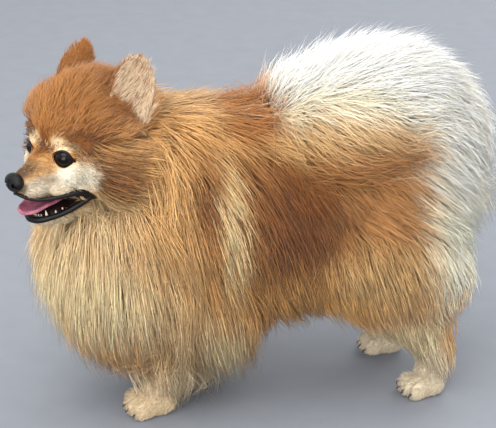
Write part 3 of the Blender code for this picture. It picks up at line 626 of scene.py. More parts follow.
@dataclass
class Eye:
    """One eye with its lid, in the head's axes: -Y looks out, X runs along the opening of the lids."""

    side: int
    radius: float = 0.0090
    outward: float = math.radians(32.0)
    lid_thickness: float = 0.0010
    half_length: float = 0.0074
    half_height: float = 0.0058
    slant: float = math.radians(-14.0)
    pinch: float = 0.35
    cornea: float = 0.0009
    cornea_share: float = 0.62
    play: float = 0.0001
    rim_radius: float = 0.00075
    rim_gap: float = 0.0003
    rim_height: float = 0.0005
    rim_steps: int = 48

    @property
    def centre(self) -> Vector:
        """The middle of the eyeball."""
        return Vector((0.0142 * self.side, 0.0074, 0.0))

    @property
    def matrix(self) -> Matrix:
        """The eye's axes in the head's."""
        turn = Euler((0.0, -self.slant * self.side, self.outward * self.side), "YZX")
        return Matrix.Translation(self.centre) @ turn.to_matrix().to_4x4()

    def outline(self, swing: float, grown: float = 0.0) -> tuple[float, float]:
        """A point of the opening's outline, across and up.

        Args:
            swing: The angle round the opening.
            grown: How far outside the opening.

        Returns:
            How far across and how far up.
        """
        across, up = math.cos(swing), math.sin(swing)
        pinch = self.pinch * across * across + self.pinch * max(0.0, across * self.side) ** 3
        return across * (self.half_length + grown), up * (1.0 - pinch) * (self.half_height + grown)

    def lid(self) -> Piece:
        """The lids as one shell round the eyeball."""
        return ball(self.centre, [self.radius + self.lid_thickness] * 3, 48, 32)

    def cutters(self) -> list[Piece]:
        """What the skin has cut from it: the socket and the opening between the lids.

        Returns:
            The two tools.
        """
        form = bmesh.new()
        depth = 2 * self.radius
        bmesh.ops.create_cone(form, cap_ends=True, segments=40, radius1=1.0, radius2=1.0, depth=depth)
        for vert in form.verts:
            across, up = self.outline(math.atan2(vert.co.y, vert.co.x))
            vert.co = (across, vert.co.z - depth / 2, up)
        bmesh.ops.recalc_face_normals(form, faces=form.faces)
        opening = object_of("opening", form)
        opening.data.transform(self.matrix)
        return [ball(self.centre, [self.radius + self.play] * 3, 48, 32), opening]

    def eyeball(self) -> Piece:
        """The eyeball with the bulge of its cornea.

        Returns:
            The eyeball, in its own axes.
        """
        form = bmesh.new()
        bmesh.ops.create_uvsphere(form, u_segments=64, v_segments=40, radius=self.radius)
        bmesh.ops.rotate(form, matrix=Matrix.Rotation(math.radians(90.0), 3, "X"), verts=form.verts)
        for vert in form.verts:
            off_axis = math.hypot(vert.co.x, vert.co.z) / (self.cornea_share * self.radius)
            if vert.co.y < 0.0 and off_axis < 1.0:
                vert.co.y -= self.cornea * (1.0 - off_axis ** 2) ** 1.5
        return object_of("eyeball", form)

    def rim(self) -> Piece:
        """The bare dark edge of the lids.

        Returns:
            The rim, in the head's axes.
        """
        points, radii = [], []
        height = self.radius + self.rim_height
        for i in range(self.rim_steps + 1):
            swing = 2 * math.pi * i / self.rim_steps
            across, up = self.outline(swing, self.rim_gap)
            points.append((across, -math.sqrt(max(height ** 2 - across ** 2 - up ** 2, 1e-9)), up))
            above = 0.3 * max(0.0, math.sin(swing))
            corner = 0.7 * max(0.0, math.cos(swing) * self.side) ** 6
            radii.append(self.rim_radius * (1.0 + above + corner))
        made = tube(points, radii, 2, 1)
        made.data.transform(self.matrix)
        return made


@dataclass
class Nose:
    """The nose pad with its two nostrils and the groove between them."""

    centre: Triple = (0.0, -0.0275, -0.0130)
    half_sizes: Triple = (0.0082, 0.0056, 0.0068)
    nostril: Triple = (0.0040, -0.0044, -0.0006)
    nostril_half_sizes: Triple = (0.0014, 0.0032, 0.0018)
    nostril_turn: float = 0.5
    slit_step: Triple = (0.0018, 0.0006, -0.0008)
    slit_half_sizes: Triple = (0.0022, 0.0026, 0.0006)
    slit_turn: float = 0.3
    groove: float = 0.0007
    groove_width: float = 0.0005
    groove_top: float = 0.45
    flatness: float = 0.10
    taper: float = 0.26

    def form(self) -> Piece:
        """The pad, in the head's axes.

        Returns:
            The pad.
        """
        form = bmesh.new()
        bmesh.ops.create_uvsphere(form, u_segments=72, v_segments=48, radius=1.0)
        for vert in form.verts:
            x, y, z = vert.co
            flat = 1.0 - self.flatness * max(0.0, -y) ** 2
            narrow = 1.0 - self.taper * max(0.0, -z)
            vert.co = (x * self.half_sizes[0] * narrow, y * self.half_sizes[1] * flat, z * self.half_sizes[2])
            if y < 0.0 and z < self.groove_top:
                middle = math.exp(-(x * self.half_sizes[0] / self.groove_width) ** 2)
                vert.co.y += self.groove * middle * min(1.0, -2 * y)
        bmesh.ops.translate(form, vec=self.centre, verts=form.verts)
        made = object_of("nose_pad", form)
        holes = []
        for side, _ in SIDES:
            holes.append(self.hole(side, (0.0, 0.0, 0.0), self.nostril_half_sizes, self.nostril_turn))
            holes.append(self.hole(side, self.slit_step, self.slit_half_sizes, self.slit_turn))
        return combined(made, holes, "DIFFERENCE")

    def hole(self, side: int, step: Triple, half_sizes: Triple, turn: float) -> Piece:
        """What is cut for a nostril or for the slit beside it.

        Args:
            side: 1 for the left and -1 for the right.
            step: From the nostril to the hole.
            half_sizes: The half size along each axis.
            turn: How far the hole turns outward.

        Returns:
            The tool to cut with.
        """
        nostril, beside = (Vector((x * side, y, z)) for x, y, z in (self.nostril, step))
        place = Vector(self.centre) + nostril + beside
        made = ball((0.0, 0.0, 0.0), half_sizes)
        swing = Euler((0.0, self.nostril_turn * side, turn * side)).to_matrix().to_4x4()
        made.data.transform(Matrix.Translation(place) @ swing)
        return made


@dataclass
class Mouth:
    """Lips, tongue, teeth and where the mouth stands open, in the head's axes."""

    upper: tuple = ((0.0282, 0.0222, -0.0262), (0.0256, 0.0090, -0.0238), (0.0197, -0.0050, -0.0250),
                    (0.0126, -0.0165, -0.0256), (0.0060, -0.0232, -0.0238), (0.0, -0.0262, -0.0214))
    lower: tuple = ((0.0278, 0.0226, -0.0268), (0.0222, 0.0110, -0.0338), (0.0166, 0.0006, -0.0392),
                    (0.0110, -0.0086, -0.0420), (0.0060, -0.0136, -0.0432), (0.0, -0.0154, -0.0436))
    upper_radii: tuple = (0.0018, 0.0021, 0.0015, 0.0013, 0.0013, 0.0014)
    lower_radii: tuple = (0.0018, 0.0022, 0.0020, 0.0021, 0.0025, 0.0026)
    tongue_line: tuple = ((0.018, -0.0325), (0.006, -0.0332), (-0.006, -0.0350), (-0.0160, -0.0372),
                          (-0.0232, -0.0372))
    tongue_half_widths: tuple = (0.0085, 0.0106, 0.0118, 0.0104, 0.0064)
    tongue_thickness: float = 0.0024
    tongue_cup: float = 0.0034
    tongue_groove: float = 0.0008
    tongue_ripple: float = 0.0006
    tongue_tip: float = 0.8
    # Along the mouth from the front: how wide it opens and how high its roof is, then its sill
    widths: tuple = ((-0.026, -0.0165, -0.006, 0.008, 0.0215), (0.004, 0.0100, 0.0145, 0.0200, 0.0238))
    roof: tuple = ((-0.026, -0.0165, -0.006, 0.008, 0.0215), (-0.0200, -0.0230, -0.0246, -0.0270, -0.0290))
    sill: tuple = ((-0.0145, -0.008, 0.001, 0.012, 0.0215), (-0.0428, -0.0412, -0.0392, -0.0366, -0.0320))
    corner: float = 0.0220
    edge: float = 0.001
    front_teeth: int = 6
    tooth_taper: float = 0.45
    tooth_lean: float = 0.15

    def lips(self) -> Piece:
        """Both lips' rims, from one corner of the mouth round to the other.

        Returns:
            The two rims in one object.
        """
        made = []
        for points, radii in ((self.upper, self.upper_radii), (self.lower, self.lower_radii)):
            half = [Vector(point) for point in points]
            line = half + [Vector((-point.x, point.y, point.z)) for point in reversed(half[:-1])]
            made.append(tube(line, [*radii, *reversed(radii[:-1])], 3, 4))
        return gathered(made)

    def rim_points(self) -> Array:
        """Points along both lips, on both sides.

        Returns:
            The points, in the head's axes.
        """
        made = []
        for points in (self.upper, self.lower):
            for point in smooth_line(points, 8):
                made += [(point.x, point.y, point.z), (-point.x, point.y, point.z)]
        return np.array(made)

    def open_at(self, x: Array, y: Array, z: Array) -> Array:
        """Which places of the head lie inside the open mouth.

        Args:
            x: How far each is from the middle.
            y: How far back each is.
            z: How high each is.

        Returns:
            True inside.
        """
        width, roof, sill = (np.interp(y, *course) for course in (self.widths, self.roof, self.sill))
        return (y < self.corner) & (x < width + self.edge) & (z < roof) & (z > sill)

    def tongue(self) -> Piece:
        """The tongue, with a groove along its middle, its edges turned up and its tip over the lower lip.

        Returns:
            The tongue.
        """
        across, along = 24, 36
        form = bmesh.new()
        bmesh.ops.create_grid(form, x_segments=across, y_segments=along, size=1.0)
        line = smooth_line([(0.0, y, z) for y, z in self.tongue_line], along // 4)
        widths = smooth_line([(width, 0.0, 0.0) for width in self.tongue_half_widths], along // 4)
        for vert in form.verts:
            u, step = vert.co.x, round((vert.co.y + 1) / 2 * along)
            v = step / along
            lift = self.tongue_cup * (abs(u) ** 1.6) * min(1.0, 1.6 - v)
            groove = -self.tongue_groove * math.exp(-(u / 0.12) ** 2) * min(1.0, 2.0 * (1.0 - v))
            ripple = self.tongue_ripple * math.sin(9.0 * v + 2.0 * u) * abs(u)
            rounded = math.sqrt(max(0.0, 1.0 - max(0.0, (v - self.tongue_tip) / 0.2) ** 2.2 * 0.75))
            vert.co = (u * widths[step].x * rounded, line[step].y, line[step].z + lift + groove + ripple)
        made = object_of("tongue", form)
        thick = made.modifiers.new("Thick", "SOLIDIFY")
        thick.thickness = self.tongue_thickness
        thick.offset = 0.0
        round_off = made.modifiers.new("Round", "SUBSURF")
        round_off.levels = 1
        return settle(made)

    def teeth(self) -> Piece:
        """The lower front teeth in an arc between two fangs, and a few behind them.

        Returns:
            All the teeth in one object.
        """
        made = []
        for i in range(self.front_teeth):
            swing = math.radians(-50.0 + 20.0 * i)
            place = Vector((0.0058 * math.sin(swing), -0.0066 - 0.0054 * math.cos(swing), -0.0420))
            made.append(self.tooth(place, 0.0019, 0.0007))
        for side, _ in SIDES:
            made.append(self.tooth(Vector((0.0078 * side, -0.0082, -0.0410)), 0.0040, 0.0011))
            for k in range(2):
                place = Vector(((0.0098 + 0.0017 * k) * side, -0.0015 + 0.0046 * k, -0.0402 + 0.0013 * k))
                made.append(self.tooth(place, 0.0017, 0.0010))
        return gathered(made)

    def tooth(self, place: Vector, length: float, radius: float) -> Piece:
        """One tapered tooth that leans a little forward.

        Args:
            place: Where it stands.
            length: Its length.
            radius: Its radius.

        Returns:
            The tooth.
        """
        made = ball((0.0, 0.0, 0.0), (radius, radius, length), 12, 8)
        for vert in made.data.vertices:
            pinch = 1.0 - self.tooth_taper * max(0.0, vert.co.z / length)
            vert.co.x *= pinch
            vert.co.y = vert.co.y * pinch - self.tooth_lean * max(0.0, vert.co.z)
        made.data.transform(Matrix.Translation(place))
        return made


@dataclass
class Ear:
    """One ear, a cupped leaf that opens forward and outward, in the head's axes."""

    side: int
    tip_height: float = 0.0615
    half_width: float = 0.0152
    cup: float = 0.0085
    thickness: float = 0.0014
    root: float = 0.008

    @property
    def splay(self) -> float:
        """How far outward the ear turns its hollow: the far ear is turned back."""
        return math.radians(34.0 if self.side > 0 else 90.0)

    @property
    def base(self) -> Vector:
        """Where the ear grows from."""
        return Vector((0.0355, 0.0470, 0.0235) if self.side > 0 else (-0.0310, 0.0480, 0.0260))

    @property
    def tip(self) -> Vector:
        """The ear's tip."""
        return Vector((0.0290 if self.side > 0 else -0.0262, 0.0620, self.tip_height))

    @property
    def hollow(self) -> tuple[float, float]:
        """How wide and how high the hollow's hair grows, as shares of the leaf."""
        return (0.95, 0.93) if self.side > 0 else (0.75, 0.55)

    @property
    def opening(self) -> Vector:
        """The way that the hollow of the ear faces.

        Returns:
            The direction, at right angles to the leaf's rise.
        """
        rise = (self.tip - self.base).normalized()
        way = Vector((math.sin(self.splay) * self.side, -math.cos(self.splay), 0.0))
        return (way - rise * way.dot(rise)).normalized()

    def form(self) -> Piece:
        """The leaf.

        Returns:
            The leaf.
        """
        across, along = 16, 24
        form = bmesh.new()
        bmesh.ops.create_grid(form, x_segments=across, y_segments=along, size=1.0)
        rise = (self.tip - self.base).normalized()
        breadth = rise.cross(self.opening)
        root = self.base - rise * self.root
        height = (self.tip - root).length
        for vert in form.verts:
            u, v = vert.co.x, (vert.co.y + 1) / 2
            width = self.half_width * (1.0 - v ** 2.2) ** 0.8 * (0.50 + v ** 0.7) + 0.0008
            cup = self.cup * (1.0 - u * u) * (1.0 - v) ** 0.7
            vert.co = root + rise * (height * v) + breadth * (width * u) - self.opening * cup
        bmesh.ops.recalc_face_normals(form, faces=form.faces)
        made = object_of("ear", form)
        thick = made.modifiers.new("Thick", "SOLIDIFY")
        thick.thickness = self.thickness
        thick.offset = 0.0
        return settle(made)


def claws() -> Piece:
    """The curved claw of every toe.

    Returns:
        All the claws in one object.
    """
    course = ((0.0022, 0.0003), (0.0040, -0.0012), (0.0046, -0.0024))
    made = []
    for leg in LEGS:
        for number in range(leg.toes):
            toe, swing = leg.toe(number, 0.30)
            way = Matrix.Rotation(swing, 3, "Z") @ Vector((0.0, -1.0, 0.0))
            root = toe + way * (leg.paw[1] / 2 * 0.36)
            line = [root] + [root + way * ahead + Vector((0.0, 0.0, up)) for ahead, up in course]
            claw = tube(line, (0.0011, 0.0010, 0.0007, 0.0002), 2, 3)
            claw.data.transform(leg.stand)
            made.append(claw)
    return gathered(made)


# Markings, alike on skin and coat


class Axes(Enum):
    """Whose axes a marking is given in."""

    BODY = "body"
    HEAD = "head"


@dataclass(frozen=True)
class Marking:
    """One soft patch of colour, the same on both sides: its middle, half sizes, strength and soft edge."""

    colour: Triple
    centre: Triple
    half_sizes: Triple
    strength: float = 1.0
    softness: float = 0.45
    axes: Axes = Axes.BODY

    def weight(self, body: Array, head: Array) -> Array:
        """How much of the colour each place takes.

        Args:
            body: The places in the dog's axes.
            head: The same places in the head's axes.

        Returns:
            A weight from 0 to the strength.
        """
        places = np.array(body if self.axes is Axes.BODY else head)
        places[:, 0] = np.abs(places[:, 0])
        distance = np.sqrt((((places - self.centre) / self.half_sizes) ** 2).sum(1))
        return self.strength * (1.0 - smooth_step(distance, 1.0 - self.softness, 1.0 + self.softness))


GOLD = (203, 152, 97)
# Hair that lies deep takes up blue and green light more than red
RICHNESS = np.array((1.0, 1.06, 1.18))
BODY_MARKINGS = (
    # back, darker just ahead of the tail
    ((198, 166, 130), (0.0, -0.048, 0.235), (0.055, 0.055, 0.030), 0.9, 0.5),
    ((166, 116, 72), (0.030, -0.006, 0.222), (0.055, 0.018, 0.040), 0.9, 0.5),
    # neck and shoulder, the ruff's rear edge darkened with painted shade, and the pale streak behind it
    ((220, 178, 126), (0.062, -0.082, 0.176), (0.050, 0.042, 0.070), 0.9, 0.5),
    ((132, 80, 38), (0.068, -0.044, 0.186), (0.034, 0.014, 0.046), 0.9, 0.5),
    ((240, 194, 140), (0.072, -0.060, 0.110), (0.034, 0.016, 0.032), 0.6, 0.5),
    ((132, 80, 36), (0.066, 0.020, 0.152), (0.045, 0.040, 0.060), 0.95, 0.7),
    ((246, 216, 172), (0.074, -0.027, 0.134), (0.034, 0.0085, 0.072), 0.95, 0.5),
    # flank below and behind, rump and thigh
    ((212, 164, 102), (0.045, 0.024, 0.084), (0.070, 0.085, 0.016), 0.85, 0.6),
    ((188, 138, 92), (0.068, 0.098, 0.160), (0.055, 0.036, 0.042), 0.9, 0.5),
    ((206, 172, 126), (0.085, 0.088, 0.104), (0.055, 0.048, 0.028), 0.9, 0.5),
    ((252, 242, 222), (0.050, 0.148, 0.124), (0.085, 0.033, 0.068), 0.95, 0.5),
    # front of the ruff, paler towards its lower edge, and the tuft between the legs
    ((222, 194, 156), (0.040, -0.137, 0.142), (0.075, 0.050, 0.055), 0.95, 0.5),
    ((240, 218, 180), (0.030, -0.128, 0.088), (0.095, 0.066, 0.036), 0.9, 0.5),
    ((250, 230, 192), (0.045, -0.050, 0.042), (0.060, 0.036, 0.028), 0.9, 0.5),
    # plume of the tail: white above, golden below, brown under its fringe as painted shade on orange hair,
    # and brown at its front edge
    ((251, 248, 240), (0.0, 0.088, 0.250), (0.100, 0.100, 0.042), 1.0, 0.35),
    ((246, 242, 232), (0.0, 0.152, 0.200), (0.085, 0.050, 0.056), 1.0, 0.35),
    ((246, 228, 200), (0.056, 0.050, 0.230), (0.040, 0.055, 0.020), 0.75, 0.5),
    ((222, 184, 136), (0.062, 0.048, 0.207), (0.042, 0.058, 0.015), 0.85, 0.5),
    ((184, 132, 88), (0.064, 0.074, 0.194), (0.036, 0.050, 0.010), 0.9, 0.5),
    ((176, 122, 78), (0.020, -0.006, 0.230), (0.050, 0.017, 0.032), 1.0, 0.4),
    # legs: golden above, cream paws, and an orange back edge on the hind legs
    ((160, 124, 80), (0.034, -0.066, 0.046), (0.030, 0.030, 0.026), 0.9, 0.4),
    ((230, 208, 178), (0.034, -0.076, 0.008), (0.040, 0.060, 0.026), 1.0, 0.4),
    ((246, 220, 184), (0.038, 0.110, 0.046), (0.036, 0.040, 0.036), 0.95, 0.4),
    ((230, 216, 194), (0.038, 0.105, 0.006), (0.040, 0.060, 0.024), 1.0, 0.4),
    ((202, 150, 94), (0.038, 0.142, 0.050), (0.026, 0.012, 0.028), 0.8, 0.5),
)
HEAD_MARKINGS = (
    # head: warm crown, paler behind the ears, brown brows and the patch between them
    ((232, 184, 130), (0.046, 0.078, 0.004), (0.042, 0.030, 0.050), 0.8, 0.5),
    ((186, 130, 78), (0.0, 0.030, 0.036), (0.070, 0.064, 0.042), 0.95, 0.5),
    ((118, 70, 34), (0.034, 0.012, 0.0130), (0.020, 0.020, 0.0085), 0.85, 0.5),
    ((122, 72, 36), (0.0, 0.0, 0.010), (0.0056, 0.014, 0.012), 0.95, 0.5),
    ((150, 96, 52), (0.038, 0.040, 0.040), (0.010, 0.016, 0.020), 0.7, 0.5),
    ((160, 108, 62), (0.028, 0.058, 0.048), (0.022, 0.022, 0.024), 0.8, 0.5),
    # pale spots over and under the eyes, cheeks, muzzle and chin
    ((243, 222, 188), (0.0135, -0.003, 0.0100), (0.0078, 0.010, 0.0046), 0.95, 0.4),
    ((243, 222, 188), (0.0220, 0.004, 0.0078), (0.0070, 0.008, 0.0026), 0.8, 0.4),
    ((255, 246, 228), (0.0290, 0.006, -0.0130), (0.0210, 0.020, 0.0100), 0.95, 0.45),
    ((214, 168, 118), (0.0085, -0.008, -0.0060), (0.0075, 0.012, 0.0060), 0.8, 0.5),
    ((206, 196, 182), (0.0120, -0.014, -0.0175), (0.0120, 0.017, 0.0068), 0.95, 0.4),
    ((70, 60, 54), (0.0, -0.0205, -0.0072), (0.0085, 0.0075, 0.0052), 0.9, 0.5),
    ((92, 78, 68), (0.0030, -0.016, -0.0035), (0.0060, 0.010, 0.0040), 0.7, 0.5),
    ((64, 56, 54), (0.0045, -0.026, -0.0165), (0.0055, 0.006, 0.0040), 0.85, 0.5),
    ((222, 206, 180), (0.0, 0.004, -0.0490), (0.026, 0.028, 0.0080), 0.95, 0.4),
    # dark lines out from the eye's corner and the ring behind the mouth's corner
    ((100, 60, 32), (0.0385, 0.010, 0.0038), (0.0135, 0.012, 0.0022), 0.95, 0.4),
    ((40, 28, 22), (0.0225, 0.0040, -0.0002), (0.0040, 0.006, 0.0014), 0.9, 0.5),
    ((88, 54, 28), (0.0490, 0.025, -0.0190), (0.0135, 0.016, 0.0180), 0.95, 0.5),
    ((158, 104, 58), (0.0600, 0.030, -0.0120), (0.0130, 0.016, 0.0180), 0.7, 0.5),
    # the corner and the lining of the open mouth, near black: partly their own dark colour, partly painted
    # shade of the mouth's inside
    ((26, 16, 16), (0.0246, 0.0150, -0.0282), (0.0066, 0.0120, 0.0050), 1.0, 0.2),
    ((30, 11, 12), (0.0, -0.002, -0.0335), (0.0228, 0.0240, 0.0100), 1.0, 0.12),
)
MARKINGS = [Marking(*values) for values in BODY_MARKINGS]
MARKINGS += [Marking(*values, Axes.HEAD) for values in HEAD_MARKINGS]


def painted(places: Array) -> Array:
    """The coat's colour at each place, in linear light.

    Args:
        places: The places in the dog's axes.

    Returns:
        A colour for each place.
    """
    head = HEAD.local(places)
    made = np.tile(linear(GOLD), (len(places), 1))
    for marking in MARKINGS:
        weight = marking.weight(places, head)[:, None]
        made = made * (1.0 - weight) + linear(marking.colour) * weight
    return made ** RICHNESS


# Finishes

WHITE = (1.0, 1.0, 1.0)


class Nodes:
    """A short way to build a material's nodes."""

    def __init__(self, name: str) -> None:
        """Starts a material with its shader.

        Args:
            name: The material's name.
        """
        self.material = bpy.data.materials.new(name)
        self.material.use_nodes = True
        self.tree = self.material.node_tree
        self.shader = self.tree.nodes["Principled BSDF"]

    def add(self, kind: str, **settings: object) -> bpy.types.Node:
        """A node with its settings and its inputs' values, by name.

        Args:
            kind: The node's type.
            **settings: Its properties and its inputs' values.

        Returns:
            The node.
        """
        node = self.tree.nodes.new(kind)
        for key, value in settings.items():
            if hasattr(node, key):
                setattr(node, key, value)
            else:
                node.inputs[key.replace("_", " ")].default_value = value
        return node

    def join(self, source: Socket, target: Socket) -> None:
        """Links two sockets."""
        self.tree.links.new(source, target)

    def mixed(self, factor: object, first: object, second: object, blend: str = "MIX") -> Socket:
        """A mix of two colours, each a socket or a value.

        Args:
            factor: How much of the second.
            first: The first colour.
            second: The second colour.
            blend: The way to mix.

        Returns:
            The mixed colour.
        """
        node = self.tree.nodes.new("ShaderNodeMix")
        node.data_type = "RGBA"
        node.blend_type = blend
        sockets = (node.inputs[0], node.inputs[6], node.inputs[7])
        for socket, value in zip(sockets, (factor, first, second)):
            if isinstance(value, Socket):
                self.join(value, socket)
            else:
                socket.default_value = value if isinstance(value, float) else (*value, 1.0)
        return node.outputs[2]

    def noise(self, where: Socket, scale: float, detail: float = 3.0) -> bpy.types.Node:
        """A noise over the given coordinates.

        Args:
            where: The coordinates.
            scale: The scale.
            detail: The noise's detail.

        Returns:
            The noise.
        """
        node = self.add("ShaderNodeTexNoise", Scale=scale, Detail=detail)
        self.join(where, node.inputs["Vector"])
        return node

    def ramp(self, value: Socket, stops: Sequence[tuple[float, Sequence[float]]]) -> Socket:
        """A colour ramp with its stops.

        Args:
            value: The value.
            stops: Each stop's place and colour.

        Returns:
            The ramp's colour.
        """
        node = self.tree.nodes.new("ShaderNodeValToRGB")
        elements = node.color_ramp.elements
        while len(elements) < len(stops):
            elements.new(0.5)
        for element, (position, colour) in zip(elements, stops):
            element.position = position
            element.color = (*colour, 1.0)
        self.join(value, node.inputs[0])
        return node.outputs[0]

    def stretched(self, where: Socket, scale: Triple) -> Socket:
        """The coordinates, scaled along each axis.

        Args:
            where: The coordinates.
            scale: The scale along each axis.

        Returns:
            The scaled coordinates.
        """
        node = self.tree.nodes.new("ShaderNodeMapping")
        node.inputs["Scale"].default_value = scale
        self.join(where, node.inputs["Vector"])
        return node.outputs[0]

    def coloured(self, colour: Socket) -> None:
        """Gives the shader its colour."""
        self.join(colour, self.shader.inputs["Base Color"])

    def bump(self, height: Socket, strength: float, distance: float) -> None:
        """A bump on the shader from a height.

        Args:
            height: The height.
            strength: How strong the bump is.
            distance: How high the bump is, in metres.
        """
        node = self.add("ShaderNodeBump", Strength=strength, Distance=distance)
        self.join(height, node.inputs["Height"])
        self.join(node.outputs[0], self.shader.inputs["Normal"])

    def set(self, **values: object) -> None:
        """Sets the shader's own sockets, by name."""
        for key, value in values.items():
            self.shader.inputs[key.replace("_", " ")].default_value = value


@dataclass(frozen=True)
class CoatFinish:
    """Soft hair: its colour comes with each strand, with fine streaks along it."""

    name: str = "coat_hair"
    roughness: float = 0.50
    streak: float = 0.35
    stretch: Triple = (9.0, 0.8, 1.0)
    dark: Triple = (0.62, 0.60, 0.58)

    def made(self) -> Material:
        """Builds the nodes.

        Returns:
            The hair's material.
        """
        nodes = Nodes(self.name)
        colour = nodes.add("ShaderNodeAttribute", attribute_name=COLOUR_LAYER)
        lie = nodes.add("ShaderNodeUVMap", uv_map=LIE_MAP)
        streaks = nodes.noise(nodes.stretched(lie.outputs[0], self.stretch), 4.0, 2.0)
        shade = nodes.ramp(streaks.outputs["Fac"], ((0.30, self.dark), (0.70, WHITE)))
        nodes.coloured(nodes.mixed(self.streak, colour.outputs["Color"], shade, "MULTIPLY"))
        nodes.bump(streaks.outputs["Fac"], 0.25, 0.0003)
        nodes.set(Roughness=self.roughness, Specular_IOR_Level=0.32, Sheen_Weight=0.12, Sheen_Roughness=0.5)
        return nodes.material


@dataclass(frozen=True)
class SkinFinish:
    """Skin under the coat, with short fur as fine bump."""

    name: str = "short_fur"
    share: float = 0.6
    stretch: Triple = (1.0, 0.35, 0.7)
    dark: Triple = (0.45, 0.42, 0.40)

    def made(self) -> Material:
        """Builds the nodes.

        Returns:
            The skin's material.
        """
        nodes = Nodes(self.name)
        colour = nodes.add("ShaderNodeAttribute", attribute_name=COLOUR_LAYER)
        where = nodes.add("ShaderNodeTexCoord")
        hairs = nodes.noise(nodes.stretched(where.outputs["Object"], self.stretch), 900.0, 3.0)
        shade = nodes.ramp(hairs.outputs["Fac"], ((0.32, self.dark), (0.66, WHITE)))
        nodes.coloured(nodes.mixed(self.share, colour.outputs["Color"], shade, "MULTIPLY"))
        nodes.bump(hairs.outputs["Fac"], 0.5, 0.0006)
        nodes.set(Roughness=0.72, Specular_IOR_Level=0.25)
        return nodes.material


@dataclass(frozen=True)
class MoistFinish:
    """Bare moist skin: two colours mixed by noise, with grain."""

    name: str
    light: Triple
    dark: Triple
    grain: float
    depth: float
    roughness: float
    gloss: float = 0.3
    pebbled: bool = False
    subsurface: float = 0.0

    def made(self) -> Material:
        """Builds the nodes.

        Returns:
            The moist material.
        """
        nodes = Nodes(self.name)
        where = nodes.add("ShaderNodeTexCoord").outputs["Object"]
        patches = nodes.noise(where, 160.0, 4.0)
        stops = ((0.30, linear(self.dark)), (0.70, linear(self.light)))
        nodes.coloured(nodes.ramp(patches.outputs["Fac"], stops))
        if self.pebbled:
            cells = nodes.add("ShaderNodeTexVoronoi", Scale=self.grain)
            nodes.join(where, cells.inputs["Vector"])
            height = nodes.ramp(cells.outputs["Distance"], ((0.0, WHITE), (0.55, (0.0,) * 3)))
        else:
            height = nodes.noise(where, self.grain, 3.0).outputs["Fac"]
        nodes.bump(height, 0.55, self.depth)
        nodes.set(Roughness=self.roughness, Specular_IOR_Level=self.gloss)
        if self.subsurface:
            nodes.set(Subsurface_Weight=self.subsurface, Subsurface_Scale=0.003)
        return nodes.material


@dataclass(frozen=True)
class EyeFinish:
    """A wet dark brown eye: black pupil, brown iris, dark limbus and a narrow edge of white."""

    name: str = "wet_eye"
    radius: float = Eye.radius
    rings: tuple = ((0.0, (4, 3, 3)), (0.42, (4, 3, 3)), (0.48, (30, 16, 9)), (0.62, (38, 20, 10)),
                    (0.70, (8, 6, 5)), (0.88, (16, 11, 9)), (0.97, (90, 78, 70)))

    def made(self) -> Material:
        """Builds the nodes, which read the eyeball's own axes, -Y ahead.

        Returns:
            The eye's material.
        """
        nodes = Nodes(self.name)
        where = nodes.add("ShaderNodeTexCoord").outputs["Object"]
        flat = nodes.add("ShaderNodeVectorMath", operation="MULTIPLY")
        flat.inputs[1].default_value = (1.0 / self.radius, 0.0, 1.0 / self.radius)
        nodes.join(where, flat.inputs[0])
        off_axis = nodes.add("ShaderNodeVectorMath", operation="LENGTH")
        nodes.join(flat.outputs[0], off_axis.inputs[0])
        stops = [(place, linear(colour)) for place, colour in self.rings]
        rings = nodes.ramp(off_axis.outputs["Value"], stops)
        threads = nodes.noise(where, 700.0, 4.0)
        shade = nodes.ramp(threads.outputs["Fac"], ((0.3, (0.55,) * 3), (0.7, WHITE)))
        nodes.coloured(nodes.mixed(0.8, rings, shade, "MULTIPLY"))
        nodes.set(Roughness=0.10, Specular_IOR_Level=0.22, Coat_Weight=0.0)
        return nodes.material


@dataclass(frozen=True)
class FloorFinish:
    """A plain pale floor with a faint grain."""

    name: str = "pale_floor"
    colour: Triple = (128, 132, 139)

    def made(self) -> Material:
        """Builds the nodes.

        Returns:
            The floor's material.
        """
        nodes = Nodes(self.name)
        where = nodes.add("ShaderNodeTexCoord").outputs["Object"]
        grain = nodes.noise(where, 40.0, 6.0)
        base = linear(self.colour)
        nodes.coloured(nodes.ramp(grain.outputs["Fac"], ((0.3, base * 0.94), (0.7, base))))
        nodes.set(Roughness=0.85)
        return nodes.material


# The coat


class Zone(Enum):
    """The coat's zones, each with its own length and fineness."""

    MUZZLE = "muzzle"
    FACE = "face"
    CROWN = "crown"
    CHEEK = "cheek"
    RUFF = "ruff"
    FLANK = "flank"
    BELLY = "belly"
    RUMP = "rump"
    TAIL = "tail"
    THIGH = "thigh"
    LEG = "leg"
    PAW = "paw"


@dataclass(frozen=True)
class Hair:
    """How the hair of a zone grows: tufts a spacing apart, each of some strands."""

    spacing: float
    length: float
    width: float
    strands: int
    depth: float
    bends: int = 4
    gather: float = 0.45
    lift: float = 0.75
    unrest: float = 0.10
    # Painted light: a gain on the colour that stands in for the light which deep hair passes on between its
    # strands
    scatter_lift: float = 1.0
    fullness: float = 1.0
    stray: float = 0.12


